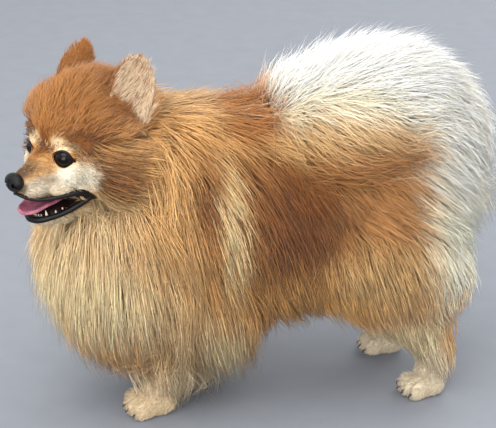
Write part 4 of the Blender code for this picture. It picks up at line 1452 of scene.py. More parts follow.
HAIRS = {
    Zone.MUZZLE: Hair(0.0013, 0.0038, 0.00030, 4, 0.0010, 2, 0.1, 0.9, 0.12),
    Zone.FACE: Hair(0.0017, 0.0068, 0.00036, 5, 0.0028, 2, 0.2, 0.9, 0.14),
    Zone.CROWN: Hair(0.0026, 0.0130, 0.00042, 8, 0.0160, 2, 0.15, 1.0, 0.20, 1.0, 1.35),
    Zone.CHEEK: Hair(0.0034, 0.0240, 0.00048, 10, 0.0160, 3, 0.25, 0.9, 0.14),
    Zone.RUFF: Hair(0.0053, 0.0560, 0.00064, 16, 0.0500, 3, 0.30, 0.8, 0.13, 1.14, 1.14),
    Zone.FLANK: Hair(0.0056, 0.0480, 0.00064, 16, 0.0400, 3, 0.30, 0.8, 0.13, 1.14),
    Zone.BELLY: Hair(0.0070, 0.0460, 0.00066, 12, 0.0400, 3, 0.35, 0.8, 0.14, 1.3),
    Zone.RUMP: Hair(0.0058, 0.0480, 0.00064, 16, 0.0420, 3, 0.30, 0.85, 0.14, 1.14),
    Zone.TAIL: Hair(0.0050, 0.0360, 0.00060, 17, 0.0480, 3, 0.20, 1.0, 0.27, 1.12, 0.98, 0.26),
    Zone.THIGH: Hair(0.0056, 0.0400, 0.00060, 14, 0.0340, 3, 0.30, 0.85, 0.13, 1.14),
    Zone.LEG: Hair(0.0031, 0.0110, 0.00050, 7, 0.0045, 2, 0.2, 0.9, 0.14, 0.95),
    Zone.PAW: Hair(0.0020, 0.0060, 0.00040, 5, 0.0018, 2, 0.2, 0.9, 0.14),
}
ZONE_NUMBERS = {zone: number for number, zone in enumerate(Zone)}
# Below this height the coat hangs clear of the body, by up to this step, more of it behind the front legs
HANG_HEIGHT = 0.13
HANG_STEP = 0.014
HANG_RISE = 0.05
HANG_LONG = (-0.075, -0.015)
HANG_MORE = 2.4
HANG_LESS = 0.7
PLUME_CORE = np.array((0.0, 0.014, 0.208))
# How much of the coat's depth counts where zones meet
ZONE_SHARE = 0.28
ZONE_HEAD_SHARE = 0.3
FAR = 1e9


def among(zones: Array, *wanted: Zone) -> Array:
    """Which places lie in the wanted zones."""
    return np.isin(zones, [ZONE_NUMBERS[zone] for zone in wanted])


def of_hair(value: str, zones: Array) -> Array:
    """One of the hair's values at each place."""
    return np.array([getattr(HAIRS[zone], value) for zone in Zone])[zones]


def off_mass(places: Array, mass: Mass, share: float, side: int = 1) -> Array:
    """How far each place is from a mass, about, in metres.

    Args:
        places: The places in the dog's axes.
        mass: The mass.
        share: How much of the coat's depth counts.
        side: -1 for the mass's twin on the other side.

    Returns:
        The distances, below 0 inside.
    """
    half_sizes = np.array(mass.flesh) + share * np.array(mass.coat)
    centre = np.array(mass.centre) * (side, 1, 1)
    return (np.linalg.norm((places - centre) / half_sizes, axis=1) - 1.0) * half_sizes.min()


def reach(places: Array, masses: Iterable[Mass], share: float) -> Array:
    """How far each place is from the nearest of the masses and their twins, about, in metres.

    Args:
        places: The places in the dog's axes.
        masses: The masses.
        share: How much of the coat's depth counts.

    Returns:
        The distances, below 0 inside.
    """
    best = np.full(len(places), FAR)
    for mass in masses:
        for side in ((1, -1) if mass.centre[0] > OFF_MIDDLE else (1,)):
            best = np.minimum(best, off_mass(places, mass, share, side))
    return best


def zones_of(places: Array) -> Array:
    """The zone of each place, as its number in the Enum's order.

    Args:
        places: The places in the dog's axes.

    Returns:
        The numbers.
    """
    to_head = reach(HEAD.local(places), [*FACE.values(), *JAW.values()], ZONE_HEAD_SHARE)
    to_trunk = reach(places, TRUNK.values(), ZONE_SHARE)
    to_tail = reach(places, PLUME.values(), ZONE_SHARE)
    to_thigh = np.full(len(places), FAR)
    for leg in LEGS:
        for mass in leg.placed_masses():
            to_thigh = np.minimum(to_thigh, off_mass(places, mass, ZONE_SHARE))
    x, y, z = places.T
    hx, hy, hz = HEAD.local(places).T
    hx = np.abs(hx)
    tail = (to_tail < to_trunk) & (z > 0.150) & (y > 0.0)
    tail |= (np.hypot(x, y - 0.115) < 0.024) & (z > 0.178)
    low = (z < 0.062) & (to_trunk > 0.0025)
    on_head = (to_head < to_trunk - 0.002) & (z > 0.12) & (y < -0.02)
    made = np.full(len(places), ZONE_NUMBERS[Zone.FLANK])
    for zone, where in (
        (Zone.RUFF, y < -0.052 - 0.35 * (z - 0.15)),
        (Zone.RUMP, y > 0.085),
        (Zone.BELLY, (z < 0.118) & (y > -0.075) & (np.abs(x) < 0.030)),
        (Zone.THIGH, (to_thigh < to_trunk) & (z > 0.055)),
        (Zone.TAIL, tail),
        (Zone.LEG, low),
        (Zone.THIGH, low & (y > 0.05) & (z > 0.050)),
        (Zone.PAW, z < 0.024),
        (Zone.CHEEK, on_head),
        (Zone.CROWN, on_head & (hz > 0.012) & (hy < 0.075)),
        (Zone.FACE, on_head & (hy + 0.5 * hx < 0.031) & (hz < 0.0115)),
        (Zone.MUZZLE, on_head & (hy < 0.000) & (hz < 0.004)),
    ):
        made[where] = ZONE_NUMBERS[zone]
    return made


def flows_of(places: Array, normals: Array, zones: Array) -> Array:
    """The lie of the coat at each place, shorter where the hair hangs clear.

    Args:
        places: The places in the dog's axes.
        normals: The skin's normal at each place.
        zones: The number of the zone of each place.

    Returns:
        A direction for each place, of length 1 at most.
    """
    x, y, _ = places.T
    back = np.interp(y, (-0.11, -0.05, 0.03, 0.10), (0.06, 0.22, 0.42, 0.75))
    back += 0.5 * np.clip(normals[:, 2], 0.0, 1.0)
    outward = 0.35 * normals[:, 0] * np.maximum(0.0, normals[:, 2])
    made = np.stack([outward, back, np.full(len(x), -0.9)], 1)
    made[among(zones, Zone.THIGH)] = (0.0, 0.40, -1.0)
    made[among(zones, Zone.LEG)] = (0.0, 0.1, -1.0)
    made[among(zones, Zone.PAW)] = (0.0, -0.9, -0.5)
    # The plume spreads from its core and falls at its sides and its rear
    tail = among(zones, Zone.TAIL)
    made[tail] = ((places - PLUME_CORE) * 22.0)[tail] + (0.0, 0.05, 0.0)
    beside = 12.0 * np.clip(np.abs(x[tail]) - 0.025, 0.0, 0.05)
    made[tail, 2] -= beside + 2.4 * smooth_step(y[tail], 0.100, 0.142)
    # The head's hair lies back and outward, up on the crown and down below the eyes
    head = HEAD.local(places)
    down = 6.0 * np.clip(-0.01 - head[:, 2], 0.0, 0.05)
    away = np.stack([head[:, 0] * 14.0, np.full(len(x), 0.9), -0.35 - down], 1)
    away[among(zones, Zone.CROWN), 2] = 0.45
    heads = among(zones, Zone.CHEEK, Zone.CROWN, Zone.FACE, Zone.MUZZLE)
    made[heads] = HEAD.turned(away)[heads]
    made -= normals * (made * normals).sum(1, keepdims=True)
    return made / np.maximum(np.linalg.norm(made, axis=1, keepdims=True), 0.75)


@dataclass
class Tufts:
    """Where tufts grow, and the line that each follows."""

    roots: Array
    normals: Array
    zones: Array
    paths: Array


@dataclass
class Grower:
    """Lays the tufts of the coat over the skin, their tips on the form that the tips reach."""

    skin: Piece
    lie: BVHTree
    tips: BVHTree
    seed: int = 7
    stations: int = 6
    sunk: float = 0.0012
    tried: float = 2.2
    nearest: float = 0.72
    cell: float = 0.009
    tip_play: float = 0.01
    # The space ahead of each ear where the hair is thin
    ear_ahead: float = 0.010
    ear_step: Triple = (-0.006, 0.0, 0.011)
    ear_space: Triple = (0.022, 0.020, 0.022)
    lid_edge: float = 0.0012
    length_range: tuple[float, float] = (0.85, 1.12)
    fullness_range: tuple[float, float] = (0.62, 0.95)
    thin_limit: float = 0.75

    def roots(self) -> tuple[Array, Array, Array]:
        """Roots spread over the skin, denser where the hair is finer.

        Returns:
            The roots, their normals and their zones.
        """
        corners, crosses = arrays_of(self.skin)
        zones = zones_of(corners.mean(1))
        spacing = of_hair("spacing", zones)
        wanted = np.linalg.norm(crosses, axis=1) * 0.5 / spacing ** 2
        chance = np.random.default_rng(self.seed)
        places, normals, picked = strewn(chance, corners, crosses, wanted, int(wanted.sum() * self.tried))
        kept, cells = [], {}
        for i, (place, near) in enumerate(zip(places, self.nearest * spacing[picked])):
            key = tuple(np.floor(place / self.cell).astype(int))
            if not self.crowded(place, near, key, cells):
                cells.setdefault(key, []).append(tuple(place))
                kept.append(i)
        return places[kept], normals[kept], zones[picked][kept]

    @staticmethod
    def crowded(place: Array, near: float, key: Sequence[int], cells: dict) -> bool:
        """Whether a root that was kept stands too near.

        Args:
            place: Where the root would stand.
            near: The nearest that another may stand.
            key: The cell that it lies in.
            cells: The roots that were kept, by cell.

        Returns:
            True where it is too near.
        """
        x, y, z = place
        for dx, dy, dz in product((-1, 0, 1), repeat=3):
            for other in cells.get((key[0] + dx, key[1] + dy, key[2] + dz), ()):
                if (x - other[0]) ** 2 + (y - other[1]) ** 2 + (z - other[2]) ** 2 < near * near:
                    return True
        return False

    def tufts(self) -> Tufts:
        """The tufts with their lines, from the root to the tip.

        Returns:
            The tufts.
        """
        roots, normals, zones = self.roots()
        kept = ~self.bare(roots)
        roots, normals, zones = roots[kept], normals[kept], zones[kept]
        chance = np.random.default_rng(self.seed + 1)
        thinned = self.thinned(roots)
        lengths = of_hair("length", zones) * chance.uniform(*self.length_range, len(roots))
        lengths *= 0.4 + 0.6 * thinned
        fullness = chance.uniform(*self.fullness_range, len(roots)) * thinned * of_hair("fullness", zones)
        depths, lifts = of_hair("depth", zones), of_hair("lift", zones)
        short = among(zones, Zone.MUZZLE, Zone.FACE, Zone.LEG, Zone.PAW)
        short |= (thinned < self.thin_limit) & (roots[:, 1] < 0.0)
        paths = np.empty((len(roots), self.stations, 3))
        paths[:, 0] = roots - normals * self.sunk
        place, normal = roots.copy(), normals.copy()
        skin_tree = tree_of(self.skin)
        for k in range(1, self.stations):
            t = k / (self.stations - 1)
            step = flows_of(place, normal, zones) * (lengths / (self.stations - 1))[:, None]
            for i, target in enumerate(place + step):
                near, up, _, _ = (skin_tree if short[i] else self.lie).find_nearest(target)
                hit = self.tips.ray_cast(near, up, depths[i] + self.tip_play)
                depth = min(hit[3] if hit[0] else depths[i], depths[i]) * fullness[i]
                out = up * (depth * t ** lifts[i])
                if not short[i]:
                    out.z -= self.fall(near, up, t)
                place[i], normal[i] = near, up
                paths[i, k] = near + out
        return Tufts(roots, normals, zones, paths)

    @staticmethod
    def fall(near: Vector, up: Vector, t: float) -> float:
        """How far low hair hangs down there.

        Args:
            near: The place on the lie of the coat.
            up: The way out from there.
            t: How far along the tuft, from 0 to 1.

        Returns:
            The fall, in metres.
        """
        if near.z >= HANG_HEIGHT:
            return 0.0
        fall = HANG_STEP * min(1.0, (HANG_HEIGHT - near.z) / HANG_RISE) * (1.0 - 0.5 * abs(up.z)) * t
        return fall * (HANG_MORE if HANG_LONG[0] < near.y < HANG_LONG[1] else HANG_LESS)

    def thinned(self, roots: Array) -> Array:
        """Less depth ahead of the ears, so that their hollows show, and on the plume's rear and the rump.

        Args:
            roots: The tufts' roots.

        Returns:
            A share of the depth for each root.
        """
        head = HEAD.local(roots)
        made = np.ones(len(roots))
        for side, _ in SIDES:
            ear = Ear(side)
            x, y, z = self.ear_step
            ahead = np.array(ear.base + self.ear_ahead * ear.opening + Vector((x * side, y, z)))
            distance = np.linalg.norm((head - ahead) / self.ear_space, axis=1)
            made *= 0.25 + 0.75 * smooth_step(distance, 0.6, 1.3)
        y, z = roots[:, 1], roots[:, 2]
        made *= 1.0 - 0.60 * smooth_step(y, 0.080, 0.125) * smooth_step(z, 0.200, 0.230)
        behind = 0.6 * smooth_step(y, 0.105, 0.135)
        return made * (1.0 - behind * (1.0 - smooth_step(z, 0.150, 0.175)) * smooth_step(z, 0.055, 0.07))

    def bare(self, roots: Array) -> Array:
        """Where no hair grows: the soles, the eyes' openings, the nose pad and inside the mouth.

        Args:
            roots: The tufts' roots.

        Returns:
            True where a root stays bare.
        """
        head = HEAD.local(roots)
        x, y, z = np.abs(head[:, 0]), head[:, 1], head[:, 2]
        made = roots[:, 2] < 0.0025
        made |= (y < -0.0225) & (z > -0.0185) & (z < -0.0050) & (x < 0.0080)
        made |= Mouth().open_at(x, y, z)
        for side, _ in SIDES:
            made |= self.in_eye(head, Eye(side))
        close = np.flatnonzero((y < 0.032) & (z < -0.012) & (x < 0.04))
        gaps = np.linalg.norm(head[close][:, None] - Mouth().rim_points()[None], axis=2)
        made[close] |= gaps.min(1) < 0.0032 + 0.0030 * smooth_step(y[close], 0.004, 0.020)
        return made

    def in_eye(self, head: Array, eye: Eye) -> Array:
        """Which places of the head lie between an eye's lids.

        Args:
            head: The places in the head's axes.
            eye: The eye.

        Returns:
            True between the lids.
        """
        inverse = np.array(eye.matrix.inverted())
        local = head @ inverse[:3, :3].T + inverse[:3, 3]
        half_length, half_height = eye.half_length + self.lid_edge, eye.half_height + self.lid_edge
        swing = np.arctan2(local[:, 2] / half_height, local[:, 0] / half_length)
        across, up = np.cos(swing), np.sin(swing) * (1.0 - eye.pinch * np.cos(swing) ** 2)
        edge = np.hypot(across * half_length, up * half_height)
        return (np.hypot(local[:, 0], local[:, 2]) < edge) & (local[:, 1] < 0.0)


@dataclass
class Strands:
    """Turns tufts into a mesh of closed three-sided strands."""

    name: str
    seed: int
    # Painted shade towards each strand's root and a painted highlight at its tip
    shade_root: float = 0.70
    tip_highlight: float = 0.10
    tint: Triple | None = None
    tint_share: float = 0.88
    tint_rest: float = 0.12
    tone: float = 0.11
    warmth: float = 0.04
    blur: float = 0.0035
    taper: float = 0.62
    root_width: float = 0.8
    widths: tuple[float, float] = (0.75, 1.25)
    spread: float = 0.95
    shortest: float = 0.72
    bend: float = 1.6
    wave: float = 0.6
    lowest: float = 0.0010
    corners: Array = field(default_factory=lambda: np.array(((1.0, -0.3), (0.0, 0.7), (-1.0, -0.3))))

    def built(self, tufts: Tufts, picked: Array, finish: Material) -> Piece:
        """The strands of the picked tufts, as one object.

        Args:
            tufts: The tufts.
            picked: Which tufts to take.
            finish: The material.

        Returns:
            The piece.
        """
        chance = np.random.default_rng(self.seed)
        parts = []
        count = 0
        for zone, number in ZONE_NUMBERS.items():
            rows = np.flatnonzero(picked & (tufts.zones == number))
            if not len(rows):
                continue
            places, *looks = self.rings(tufts, rows, HAIRS[zone], chance)
            quads, ends = self.faces(HAIRS[zone].bends)
            base = count + np.arange(len(places))[:, None, None] * places.shape[1]
            tables = (places, base + quads, base + ends, *looks)
            parts.append([table.reshape(-1, table.shape[-1]) for table in tables])
            count += places.shape[0] * places.shape[1]
        return self.mesh(*(np.concatenate(tables) for tables in zip(*parts)), finish)

    @staticmethod
    def faces(bends: int) -> tuple[Array, Array]:
        """The corners of one strand's sides, and those of its two ends.

        Args:
            bends: How many bends a strand has.

        Returns:
            The sides' corners and the ends' corners.
        """
        turns = [(c, (c + 1) % 3) for c in range(3)]
        last = 3 * (bends - 1)
        quads = [(low + c, low + d, low + 3 + d, low + 3 + c) for low in range(0, last, 3) for c, d in turns]
        return np.array(quads), np.array([(last + c, last + d, last + 3) for c, d in turns] + [(2, 1, 0)])

    def rings(self, tufts: Tufts, rows: Array, hair: Hair,
              chance: Chance) -> tuple[Array, Array, Array, Array]:
        """The vertices of each strand, with their colours and both maps.

        Args:
            tufts: The tufts.
            rows: The tufts to take, by number.
            hair: How the hair grows.
            chance: The random draws.

        Returns:
            The vertices, their colours, the map for baking and the map along the hair.
        """
        rows = np.repeat(rows, hair.strands)
        count = len(rows)
        normal = tufts.normals[rows]
        spots = np.linspace(0.0, 1.0, hair.bends + 1)
        depth = np.concatenate([np.repeat(spots[:-1], 3), [1.0]])
        offset = self.offsets(tufts.paths[rows], normal, hair, chance)
        line = self.lines(tufts.paths[rows], offset, hair, chance)
        places = self.sections(line, normal, hair, chance)
        colours = self.colours(line, depth, hair, chance)
        bake = self.unwrapped(tufts.roots[rows] + offset, normal)
        spread_u = np.concatenate([np.tile((-0.5, 0.0, 0.5), hair.bends), [0.0]]) * PATCH
        spread_v = (depth - 0.5) * PATCH
        bake = bake[:, None] + np.stack([spread_u, spread_v], 1)[None]
        around = np.concatenate([np.tile((0.0, 0.5, 1.0), hair.bends), [0.5]])
        lie_u = chance.random(count)[:, None] * 50.0 + around[None]
        lie_v = chance.random(count)[:, None] * 50.0 + depth[None] * hair.length * 60.0
        return places, colours, bake, np.stack([lie_u, lie_v], 2)

    def offsets(self, path: Array, normal: Array, hair: Hair, chance: Chance) -> Array:
        """How far each strand stands from its tuft's middle.

        Args:
            path: The line of each strand's tuft.
            normal: The skin's normal at each root.
            hair: How the hair grows.
            chance: The random draws.

        Returns:
            A step for each strand.
        """
        across = unit(np.cross(unit(path[:, -1] - path[:, 0]), normal))
        swing = chance.uniform(0, 2 * np.pi, len(path))
        out = np.sqrt(chance.random(len(path))) * hair.spacing * self.spread
        along = unit(np.cross(normal, across))
        return across * (np.cos(swing) * out)[:, None] + along * (np.sin(swing) * out)[:, None]

    def lines(self, path: Array, offset: Array, hair: Hair, chance: Chance) -> Array:
        """The middle line of each strand, along its tuft and a little astray.

        Args:
            path: The line of each strand's tuft.
            offset: How far each strand stands from its tuft's middle.
            hair: How the hair grows.
            chance: The random draws.

        Returns:
            The points of each line.
        """
        count, stations = path.shape[:2]
        spots = np.linspace(0.0, 1.0, hair.bends + 1)
        reached = chance.uniform(self.shortest, 1.0 + hair.stray, count)
        every = np.arange(count)
        line = np.empty((count, hair.bends + 1, 3))
        for j, spot in enumerate(spots):
            at = np.clip(spot * reached, 0.0, 1.0) * (stations - 1)
            low = np.minimum(at.astype(int), stations - 2)
            part = (at - low)[:, None]
            line[:, j] = path[every, low] * (1 - part) + path[every, low + 1] * part
            beyond = np.maximum(spot * reached - 1.0, 0.0)[:, None] * (stations - 1)
            line[:, j] += (path[:, -1] - path[:, -2]) * beyond + offset * (1.0 - hair.gather * spot)
        bend = scattered(chance, count) * hair.unrest * hair.length * self.bend
        wave = scattered(chance, count) * hair.unrest * hair.length * self.wave
        sway = np.sin(np.pi * spots)[None, :, None]
        line += bend[:, None] * (spots ** 2)[None, :, None] * 0.8 + wave[:, None] * sway
        line[:, :, 2] = np.maximum(line[:, :, 2], self.lowest)
        return line

    def sections(self, line: Array, normal: Array, hair: Hair, chance: Chance) -> Array:
        """Three corners round each bend of each strand, and its tip.

        Args:
            line: The middle line of each strand.
            normal: The skin's normal at each root.
            hair: How the hair grows.
            chance: The random draws.

        Returns:
            The vertices of each strand.
        """
        spots = np.linspace(0.0, 1.0, hair.bends + 1)
        tangent = unit(np.gradient(line, axis=1))
        side = unit(np.cross(tangent, normal[:, None]))
        up = np.cross(side, tangent)
        thickness = chance.uniform(*self.widths, len(line))[:, None]
        widths = hair.width * thickness * (1.0 - self.taper * spots ** 1.4)[None]
        widths[:, 0] *= self.root_width
        widths = widths[:, :-1, None, None]
        aside, above = (self.corners[:, k] / 2 for k in range(2))
        ring = line[:, :-1, None] + side[:, :-1, None] * aside[None, None, :, None] * widths
        ring += up[:, :-1, None] * above[None, None, :, None] * widths
        return np.concatenate([ring.reshape(len(line), -1, 3), line[:, -1:]], 1)

    def colours(self, line: Array, depth: Array, hair: Hair, chance: Chance) -> Array:
        """The colour of each vertex, with painted shade towards the root and a painted highlight at the tip,
        each strand a little its own.

        Args:
            line: The middle line of each strand.
            depth: How far along the strand each vertex lies.
            hair: How the hair grows.
            chance: The random draws.

        Returns:
            The colours, in linear light.
        """
        count = len(line)
        seen = line[:, -2] * 0.6 + line[:, -1] * 0.4
        base = painted(seen + chance.normal(0.0, self.blur, (count, 3)))
        if self.tint is not None:
            base = base * self.tint_rest + linear(self.tint) * self.tint_share
        tone = chance.normal(0.0, self.tone, count)
        warm = chance.normal(0.0, self.warmth, count)
        # The zone's gain is painted light, lifting the colour for light passed on between strands
        base = base * hair.scatter_lift * np.exp(tone)[:, None] * np.exp(np.outer(warm, (0.3, -0.4, -1.2)))
        # Painted shade darkens the strand towards its root; a painted highlight lightens its tip
        rise = (1.0 - self.shade_root) * smooth_step(depth, 0.0, 0.7)
        gradient = self.shade_root + rise + self.tip_highlight * depth ** 3
        return np.clip(base[:, None] * gradient[None, :, None], 0.0, 1.0)

    @staticmethod
    def unwrapped(places: Array, normals: Array) -> Array:
        """Each root's place on an unwrap of the skin's own shape: six sides, each with its own field.

        Args:
            places: The roots.
            normals: The skin's normal at each root.

        Returns:
            A place from 0 to 1 on the map.
        """
        way = np.abs(normals).argmax(1)
        sign = normals[np.arange(len(way)), way] > 0
        flat = np.empty((len(places), 2))
        for axis, (first, second) in enumerate(((1, 2), (0, 2), (0, 1))):
            flat[way == axis] = places[way == axis][:, (first, second)]
        flat = np.clip((flat + 0.20) / 0.50, 0.0, 1.0)
        side = way * 2 + sign
        corner = np.stack([(side % 3) / 3.0, (side // 3) / 2.0], 1)
        return corner + 0.01 + flat * (0.31, 0.47)

    def mesh(self, vertices: Array, quads: Array, triangles: Array, colours: Array, bake: Array,
             lie: Array, finish: Material) -> Piece:
        """One mesh object from the arrays.

        Args:
            vertices: The vertices.
            quads: The corners of the four-sided faces.
            triangles: The corners of the triangles.
            colours: A colour in linear light for each vertex.
            bake: Each vertex's place on the map for baking.
            lie: Each vertex's place on the map along the hair.
            finish: The material.

        Returns:
            The object, in the scene.
        """
        mesh = bpy.data.meshes.new(self.name)
        loops = np.concatenate([quads.reshape(-1), triangles.reshape(-1)])
        sizes = np.concatenate([np.full(len(quads), 4), np.full(len(triangles), 3)])
        mesh.vertices.add(len(vertices))
        mesh.vertices.foreach_set("co", vertices.astype(np.float32).reshape(-1))
        mesh.loops.add(len(loops))
        mesh.loops.foreach_set("vertex_index", loops.astype(np.int32))
        mesh.polygons.add(len(sizes))
        mesh.polygons.foreach_set("loop_start", np.concatenate([[0], np.cumsum(sizes)[:-1]]).astype(np.int32))
        mesh.update(calc_edges=True)
        mesh.validate()
        layer_of(mesh, colours)
        for name, values in ((BAKE_MAP, bake), (LIE_MAP, lie)):
            uv = mesh.uv_layers.new(name=name)
            uv.data.foreach_set("uv", values[loops].astype(np.float32).reshape(-1))
        made = bpy.data.objects.new(self.name, mesh)
        bpy.context.scene.collection.objects.link(made)
        mesh.materials.append(finish)
        return shaded_smooth(made)


# The dog


@dataclass
class Dog:
    """The whole animal, piece by piece."""

    body: Body = field(default_factory=Body)
    # The ear's hollow: its skin colour, partly darkened as painted shade in the gaps between the hollow's
    # hairs
    hollow: Triple = (150, 112, 84)
    skin_shade: float = 0.85
    ear_shade: float = 0.8
    ear_root_shade: float = 0.8
    coat_seed: int = 100
    ear_coat_seed: int = 131

    def keep(self, thing: Piece, name: str, finish: Material | None = None) -> Piece:
        """Names a piece, sets it in the frame and lets it ride on the body.

        Args:
            thing: The object.
            name: The piece's name.
            finish: Its material, unless it has one.

        Returns:
            The same object.
        """
        thing.name = thing.data.name = name
        if finish is not None:
            thing.data.materials.clear()
            thing.data.materials.append(finish)
        if thing.matrix_world == Matrix.Identity(4):
            thing.data.transform(Matrix.Translation(FRAME_SHIFT))
        else:
            thing.matrix_world = Matrix.Translation(FRAME_SHIFT) @ thing.matrix_world
        shaded_smooth(thing)
        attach(thing, "root")
        LOG.info("%s: %d triangles", name, triangles_of(thing))
        return thing

    def coloured(self, thing: Piece, shade: float, ear_side: int = 0) -> Piece:
        """Paints the coat's markings on a skin, or on an ear with its hollow in skin colour darkened by
        painted shade.

        Args:
            thing: The object.
            shade: How bright the colours are.
            ear_side: The ear's side, or 0 for the skin.

        Returns:
            The same object.
        """
        places = np.empty(len(thing.data.vertices) * 3)
        thing.data.vertices.foreach_get("co", places)
        colours = painted(places.reshape(-1, 3)) * shade
        if ear_side:
            opening = Vector(HEAD.turned(np.array(Ear(ear_side).opening)[None])[0])
            hollow = np.array([vert.normal.dot(opening) > 0.0 for vert in thing.data.vertices])
            colours[hollow] = linear(self.hollow)
        layer_of(thing.data, colours)
        return thing

    def build_coat(self, ears: dict[int, Piece], skin: Piece) -> None:
        """The coat over the body, piece by piece, and the ears' own.

        Args:
            ears: The ears' leaves, by side.
            skin: The skin under the coat.
        """
        lie = self.body.whole(self.body.lie_share, self.body.lie_head_share)
        tips = self.body.whole(FULL_SHARE, FULL_SHARE)
        grower = Grower(skin, tree_of(lie), tree_of(tips))
        remove(lie, tips)
        tufts = grower.tufts()
        LOG.info("%d tufts", len(tufts.roots))
        hair = CoatFinish().made()
        for number, (name, (zones, slot, side)) in enumerate(COAT_PIECES.items()):
            picked = among(tufts.zones, *zones)
            if side:
                picked &= (tufts.roots[:, 0] >= 0.0) == (side > 0)
            self.keep(Strands(name, self.coat_seed + number).built(tufts, picked, hair), name)
        for is_inner, (name, slot, tint) in EAR_COAT_PIECES.items():
            group = EarCoat(is_inner).tufts(ears)
            strands = Strands(name, self.ear_coat_seed, self.ear_root_shade, tint=tint)
            self.keep(strands.built(group, np.ones(len(group.roots), bool), hair), name)

    def build_skin(self, ears: dict[int, Piece], skin: Piece) -> None:
        """The skin under the coat, the ears' leaves and the claws.

        Args:
            ears: The ears' leaves, by side.
            skin: The skin under the coat.
        """
        fur = SkinFinish().made()
        self.keep(self.coloured(skin, self.skin_shade), "skin", fur)
        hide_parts("head", "jaw", "neck", "torso", "tail", *("leg_" + leg.name for leg in LEGS),
                    *("paw_" + leg.name for leg in LEGS))
        for side, word in SIDES:
            self.keep(self.coloured(ears[side], self.ear_shade, side), "ear_leaf_" + word, fur)
            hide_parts("ear_" + word)
        horn = MoistFinish("claw_horn", (66, 54, 48), (34, 28, 26), 500.0, 0.0002, 0.4, 0.4).made()
        self.keep(claws(), "claws", horn)

    def build_face(self) -> None:
        """Eyes, nose, lips, tongue and teeth."""
        black = MoistFinish("black_skin", (20, 17, 18), (8, 7, 8), 900.0, 0.0003, 0.42, 0.22).made()
        wet = EyeFinish().made()
        for side, word in SIDES:
            eye = Eye(side)
            eyeball = eye.eyeball()
            eyeball.matrix_world = HEAD.matrix @ eye.matrix
            self.keep(eyeball, "eyeball_" + word, wet)
            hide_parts("eye_" + word)
            self.keep(HEAD.placed(eye.rim()), "eye_rim_" + word, black)
        pebbled = MoistFinish("nose_leather", (14, 13, 14), (5, 5, 5), 1500.0, 0.0004, 0.34, 0.25, True)
        nose = self.keep(HEAD.placed(Nose().form()), "nose_pad", pebbled.made())
        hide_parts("nose")
        mouth = Mouth()
        self.keep(HEAD.placed(mouth.lips()), "lips", black)
        pink = MoistFinish("tongue_pink", (180, 106, 124), (132, 68, 88), 1400.0, 0.0003, 0.36, 0.45,
                           True, 0.15)
        tongue = self.keep(HEAD.placed(mouth.tongue()), "tongue_leaf", pink.made())
        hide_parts("tongue")
        ivory = MoistFinish("ivory", (230, 222, 202), (214, 200, 174), 600.0, 0.0001, 0.25, 0.5).made()
        self.keep(HEAD.placed(mouth.teeth()), "teeth", ivory)


def ear_leaves() -> dict[int, Piece]:
    """Both ears' leaves, by side."""
    return {side: HEAD.placed(Ear(side).form()) for side, _ in SIDES}


@dataclass
class EarCoat:
    """The hair on one face of both ears: the back of the leaf, or the finer hair of its hollow."""

    is_inner: bool
    tries: int = 1500
    seed: int = 31
    stations: int = 6
    sunk: float = 0.0006
    shortening: float = 0.45
    # Three in five of the hollow's tufts are kept
    pace: int = 5
    kept: int = 3
    narrowing: float = 0.35

    @property
    def length(self) -> float:
        """The hair's length."""
        return 0.0105 if self.is_inner else 0.0065

    @property
    def lift(self) -> float:
        """How far the tips stand off."""
        return 0.0030 if self.is_inner else 0.0014

    def tufts(self, ears: dict[int, Piece]) -> Tufts:
        """The tufts on both ears.

        Args:
            ears: The ears' leaves, by side.

        Returns:
            The tufts.
        """
        groups = [self.of_ear(Ear(side), ear) for side, ear in ears.items()]
        roots, normals, paths = (np.concatenate(rows) for rows in zip(*groups))
        return Tufts(roots, normals, np.full(len(roots), ZONE_NUMBERS[Zone.FACE]), paths)

    def of_ear(self, leaf: Ear, ear: Piece) -> tuple[Array, Array, Array]:
        """The roots, normals and lines of the tufts on one ear.

        Args:
            leaf: The ear's shape.
            ear: The ear's leaf.

        Returns:
            The roots, their normals and their lines.
        """
        corners, crosses = arrays_of(ear)
        chance = np.random.default_rng(self.seed + leaf.side)
        places, normals, _ = strewn(chance, corners, crosses, np.linalg.norm(crosses, axis=1), self.tries)
        rise = HEAD.turned(np.array((leaf.tip - leaf.base).normalized())[None])[0]
        opening = HEAD.turned(np.array(leaf.opening)[None])[0]
        breadth = np.cross(rise, opening)
        base = np.array(HEAD.matrix @ leaf.base)
        height = (places - base) @ rise / (leaf.tip - leaf.base).length
        off = (places - base) @ breadth / leaf.half_width
        rows = (normals @ opening > 0.0) == self.is_inner
        if self.is_inner:
            widest, highest = leaf.hollow
            rows &= np.arange(len(rows)) % self.pace < self.kept
            rows &= np.abs(off) < widest - self.narrowing * np.clip(height, 0.0, 1.0) ** 3
            rows &= height < highest
        places, normals, height, off = places[rows], normals[rows], height[rows], off[rows]
        length = self.length * (1.0 - self.shortening * np.clip(height, 0.0, 1.0))
        lean = np.full(len(off), max(0.0, 0.6 * leaf.side)) if self.is_inner else 0.35 * np.sign(off)
        flow = rise[None] * 0.9 + breadth[None] * lean[:, None]
        flow = unit(flow - normals * (flow * normals).sum(1, keepdims=True))
        ts = np.linspace(0.0, 1.0, self.stations)
        paths = places[:, None] + flow[:, None] * (length[:, None] * ts)[:, :, None]
        paths += normals[:, None] * (self.lift * ts - self.sunk)[None, :, None]
        return places, normals, paths


